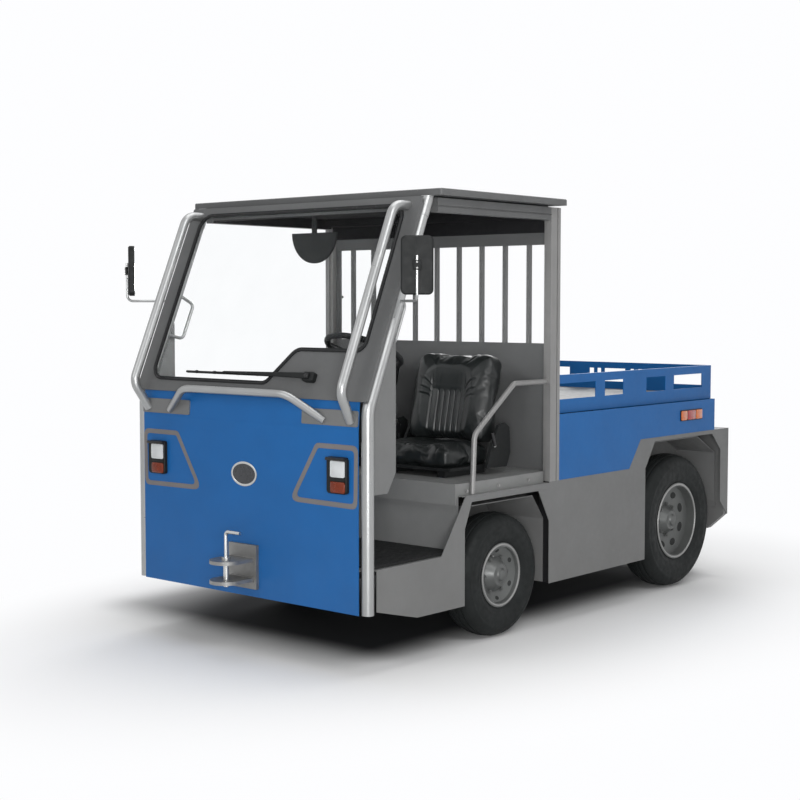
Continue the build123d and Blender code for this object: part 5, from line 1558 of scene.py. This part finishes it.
class Lining:
    """Near-black liner and beam covers under the roof, dark strips in the roof gap, and post
    sleeves; the liner and strips are painted shade.
    """

    FRONT = 0.462
    REAR = 1.330
    HALF = 0.700
    COVER = 0.0515
    SLEEVE = (1.965, 2.044)

    def build(self) -> None:
        """Makes the cab's upper trim."""
        self._roof_shade_liner()
        self._roof_gap_shade()
        self._sleeves()

    @staticmethod
    def _block(piece: Piece, x: Point, s: Point, z: Point, finish: Finish, bevel: float) -> None:
        """A block given by its spans across, along and up."""
        size = (x[1] - x[0], s[1] - s[0], z[1] - z[0])
        middle = ((x[0] + x[1]) / 2, y_at((s[0] + s[1]) / 2), (z[0] + z[1]) / 2)
        piece.box(size, Matrix.Translation(middle), finish, bevel)

    def _roof_shade_liner(self) -> None:
        """A near-black sheet under the roof and round the beams' inner faces, painted shade for the
        roof's dark underside.
        """
        piece = Piece("roof_shade_liner")
        front, rear, half = self.FRONT, self.REAR, self.HALF
        for x, s, z, bevel in (
                ((-half - 0.003, half + 0.003), (front + 0.050, rear - 0.050),
                 (BEAM_TOP - 0.0105, BEAM_TOP - 0.0054), 0.002),
                ((-half - 0.0025, half + 0.0025), (front + 0.001, front + 0.001 + self.COVER),
                 (BEAM_TOP - 0.0528, BEAM_TOP - 0.0010), 0.004),
                ((-half - 0.0025, half + 0.0025), (rear - self.COVER, rear),
                 (BEAM_TOP - 0.0528, BEAM_TOP - 0.0010), 0.004),
                ((-half - 0.0037, -half), (front + 0.004, rear - 0.004),
                 (BEAM_TOP - 0.0600, BEAM_TOP - 0.0050), 0.001),
                ((half, half + 0.0037), (front + 0.004, rear - 0.004),
                 (BEAM_TOP - 0.0600, BEAM_TOP - 0.0050), 0.001),
                ((-half, half), (rear + 0.0025, rear + 0.0355),
                 (BEAM_TOP - 0.1190, BEAM_TOP - 0.0020), 0.003)):
            self._block(piece, x, s, z, Finishes.SHADE_LINER, bevel)
        piece.done()

    def _roof_gap_shade(self) -> None:
        """Dark strips in the gap between the side beams and the roof plate, painted shade in that
        gap.
        """
        piece = Piece("roof_gap_shade")
        self._block(piece, (0.7275, 0.7330), (self.FRONT + 0.002, self.REAR - 0.002),
                    (BEAM_TOP + 0.0004, BEAM_TOP + 0.0076), Finishes.RUBBER, 0.0008)
        piece.done(mirrored=True)

    def _sleeves(self) -> None:
        """Sleeves that join the corner posts' tops."""
        piece = Piece("post_sleeves")
        low, high = self.SLEEVE
        place = facing((POST_X, y_at(post_station(low)), low), Screen.UP, (0, 1, 0))
        length = (high - low) / math.cos(POST_LEAN)
        profile = [(POST_R - 0.0002, 0.0), (POST_R + 0.0018, 0.0008), (POST_R + 0.0018, length),
                   (POST_R - 0.0002, length)]
        piece.lathe(profile, place, Finishes.TUBE, steps=40)
        piece.done(mirrored=True)


class TailLamps:
    """Side marker clusters and tail lamps, each with three lenses."""

    SIDE_Z = 0.966
    SIDE_STATION = 2.701
    TAIL_X = 0.610
    TAIL_Z = 0.955
    SIDE_LENSES = (
        # middle, width, finish
        (-0.083, 0.064, Finishes.AMBER), (-0.002, 0.086, Finishes.RED),
        (0.081, 0.068, Finishes.AMBER),
    )
    TAIL_LENSES = (
        (-0.062, 0.062, Finishes.AMBER), (0.006, 0.066, Finishes.RED),
        (0.068, 0.048, Finishes.REFLECTOR),
    )

    def build(self) -> None:
        """Makes both kinds, each a flat housing with its row of lenses."""
        side = facing((SIDE_X, y_at(self.SIDE_STATION), self.SIDE_Z), (1, 0, 0))
        piece = Piece("side_markers")
        piece.slab(rounded(0.238, 0.060, 0.008), 0.0050, moved(side, z=0.0002), Finishes.PLASTIC,
                   bevel=0.0015)
        self._lenses(piece, side, self.SIDE_LENSES, 0.051, 0.0034, 0.0048)
        tail = facing((self.TAIL_X, y_at(TRAY_REAR), self.TAIL_Z), (0, 1, 0))
        piece = Piece("tail_lamps")
        piece.slab(rounded(0.198, 0.088, 0.010), 0.0090, moved(tail, z=0.0002), Finishes.PLASTIC,
                   bevel=0.002)
        self._lenses(piece, tail, self.TAIL_LENSES, 0.074, 0.0038, 0.0085)

    @staticmethod
    def _lenses(piece: Piece, place: Matrix, lenses: Iterable[tuple], tall: float, deep: float,
                base: float) -> None:
        """Adds the ribbed lenses to a housing and finishes it.

        Args:
            piece: the housing.
            place: the middle of its back, local Z pointing outwards.
            lenses: middle, width and finish of each lens.
            tall: the lenses' height.
            deep: the lenses' depth.
            base: where they start above the place.
        """
        for middle, wide, finish in lenses:
            spot = moved(place, middle)
            depths = [base, base + deep - 0.0015, base + deep]
            piece.crowned(wide, tall, 0.006, 0.005, depths, spot, finish)
            piece.ribs(int(tall / 0.009), (wide - 0.010, 0.0020, 0.0012),
                       moved(spot, z=base + deep), finish, 0.0004)
        piece.done(replaces=("marker_lamps",), mirrored=True)


class Hardware:
    """Mat ribs, painted-shade plates, bolts, deck screws and hitch welds."""

    MAT_START = 0.085
    MAT_PITCH = 0.024
    # Black plates that stand as painted shade in the front arches' gaps
    SHADE_PLATE = (0.7090, y_at(1.3500), 0.4310)
    SHADE_PLATE_SIZE = (0.072, 0.003, 0.430)
    # station and height of the platform's bolts
    PLATFORM_BOLTS = ((0.679, 0.735), (0.920, 0.738), (1.157, 0.742))
    WALL_BOLTS = (0.840, 1.100, 1.360, 1.620, 1.880)
    SCREW_PITCH = 0.245
    EAR_Z = (0.343, 0.433)
    EAR_T = 0.016
    HITCH_PLATE = 0.016
    WELD_HALF = 0.073
    WELD_STEPS = 20

    def build(self) -> None:
        """Makes the small hardware."""
        self._mat()
        self._shade_plates()
        self._bolts()
        self._deck()
        self._welds()

    def _mat(self) -> None:
        """Raised ribs across the floor mat."""
        piece = Piece("mat_ribs")
        station = self.MAT_START
        while station < KICK_WALL - 0.037:
            piece.box((1.400, 0.007, 0.0022),
                      Matrix.Translation((0, y_at(station), MAT_TOP + 0.0008)),
                      Finishes.RUBBER, 0.0008, 1)
            station += self.MAT_PITCH
        piece.done()

    def _shade_plates(self) -> None:
        """Black plates behind the gaps of the front arches, painted shade that fills those gaps."""
        piece = Piece("shade_plates")
        piece.box(self.SHADE_PLATE_SIZE, Matrix.Translation(self.SHADE_PLATE), Finishes.SHADE_LINER, 0.0008, 1)
        piece.done(mirrored=True)

    def _bolts(self) -> None:
        """Bolts on the platform's sides and along the rear wall."""
        piece = Piece("cab_bolts")
        for station, z in self.PLATFORM_BOLTS:
            piece.bolt((0.7462, y_at(station), z), (1, 0, 0), 0.008, Finishes.ZINC)
        for z in self.WALL_BOLTS:
            piece.bolt((0.682, y_at(1.3925), z), (0, 1, 0), 0.007, Finishes.ZINC)
        piece.done(mirrored=True)

    def _deck(self) -> None:
        """Flush screws along the deck's edges."""
        piece = Piece("deck_screws")
        station = TRAY_FRONT + 0.07
        while station < TRAY_REAR - 0.05:
            head = Matrix.Translation((0.700, y_at(station), 1.0737))
            piece.cylinder(0.0075, 0.0016, head, Finishes.ZINC, top_radius=0.0062, sides=20)
            station += self.SCREW_PITCH
        piece.done(mirrored=True)

    def _welds(self) -> None:
        """Weld beads where the hitches' ears meet their plates."""
        piece = Piece("hitch_welds")
        pitch = 2 * self.WELD_HALF / self.WELD_STEPS
        for face, out in ((y_at(0.0), -1), (y_at(BODY_LENGTH), 1)):
            root = face + out * (self.HITCH_PLATE + 0.0015)
            for ear in self.EAR_Z:
                for rise in (-1, 1):
                    z = ear + rise * (self.EAR_T / 2 + 0.0015)
                    path = [(-self.WELD_HALF + pitch * k, root + out * 0.0004 * (k % 2), z)
                            for k in range(self.WELD_STEPS + 1)]
                    piece.tube(path, 0.0032, Finishes.STEEL, sides=8)
        piece.done()


def main() -> None:
    """Builds the scene in order."""
    logging.basicConfig(level=logging.INFO)
    for part in (Stage(), Dress(), Wheels(), Seats(), Headlamps(), FrontTrim(), ScreenTrim(),
                 SteeringWheel(), Dashboard(), Mirrors(), Lining(), TailLamps(), Hardware()):
        part.build()


if __name__ == "__main__":
    main()
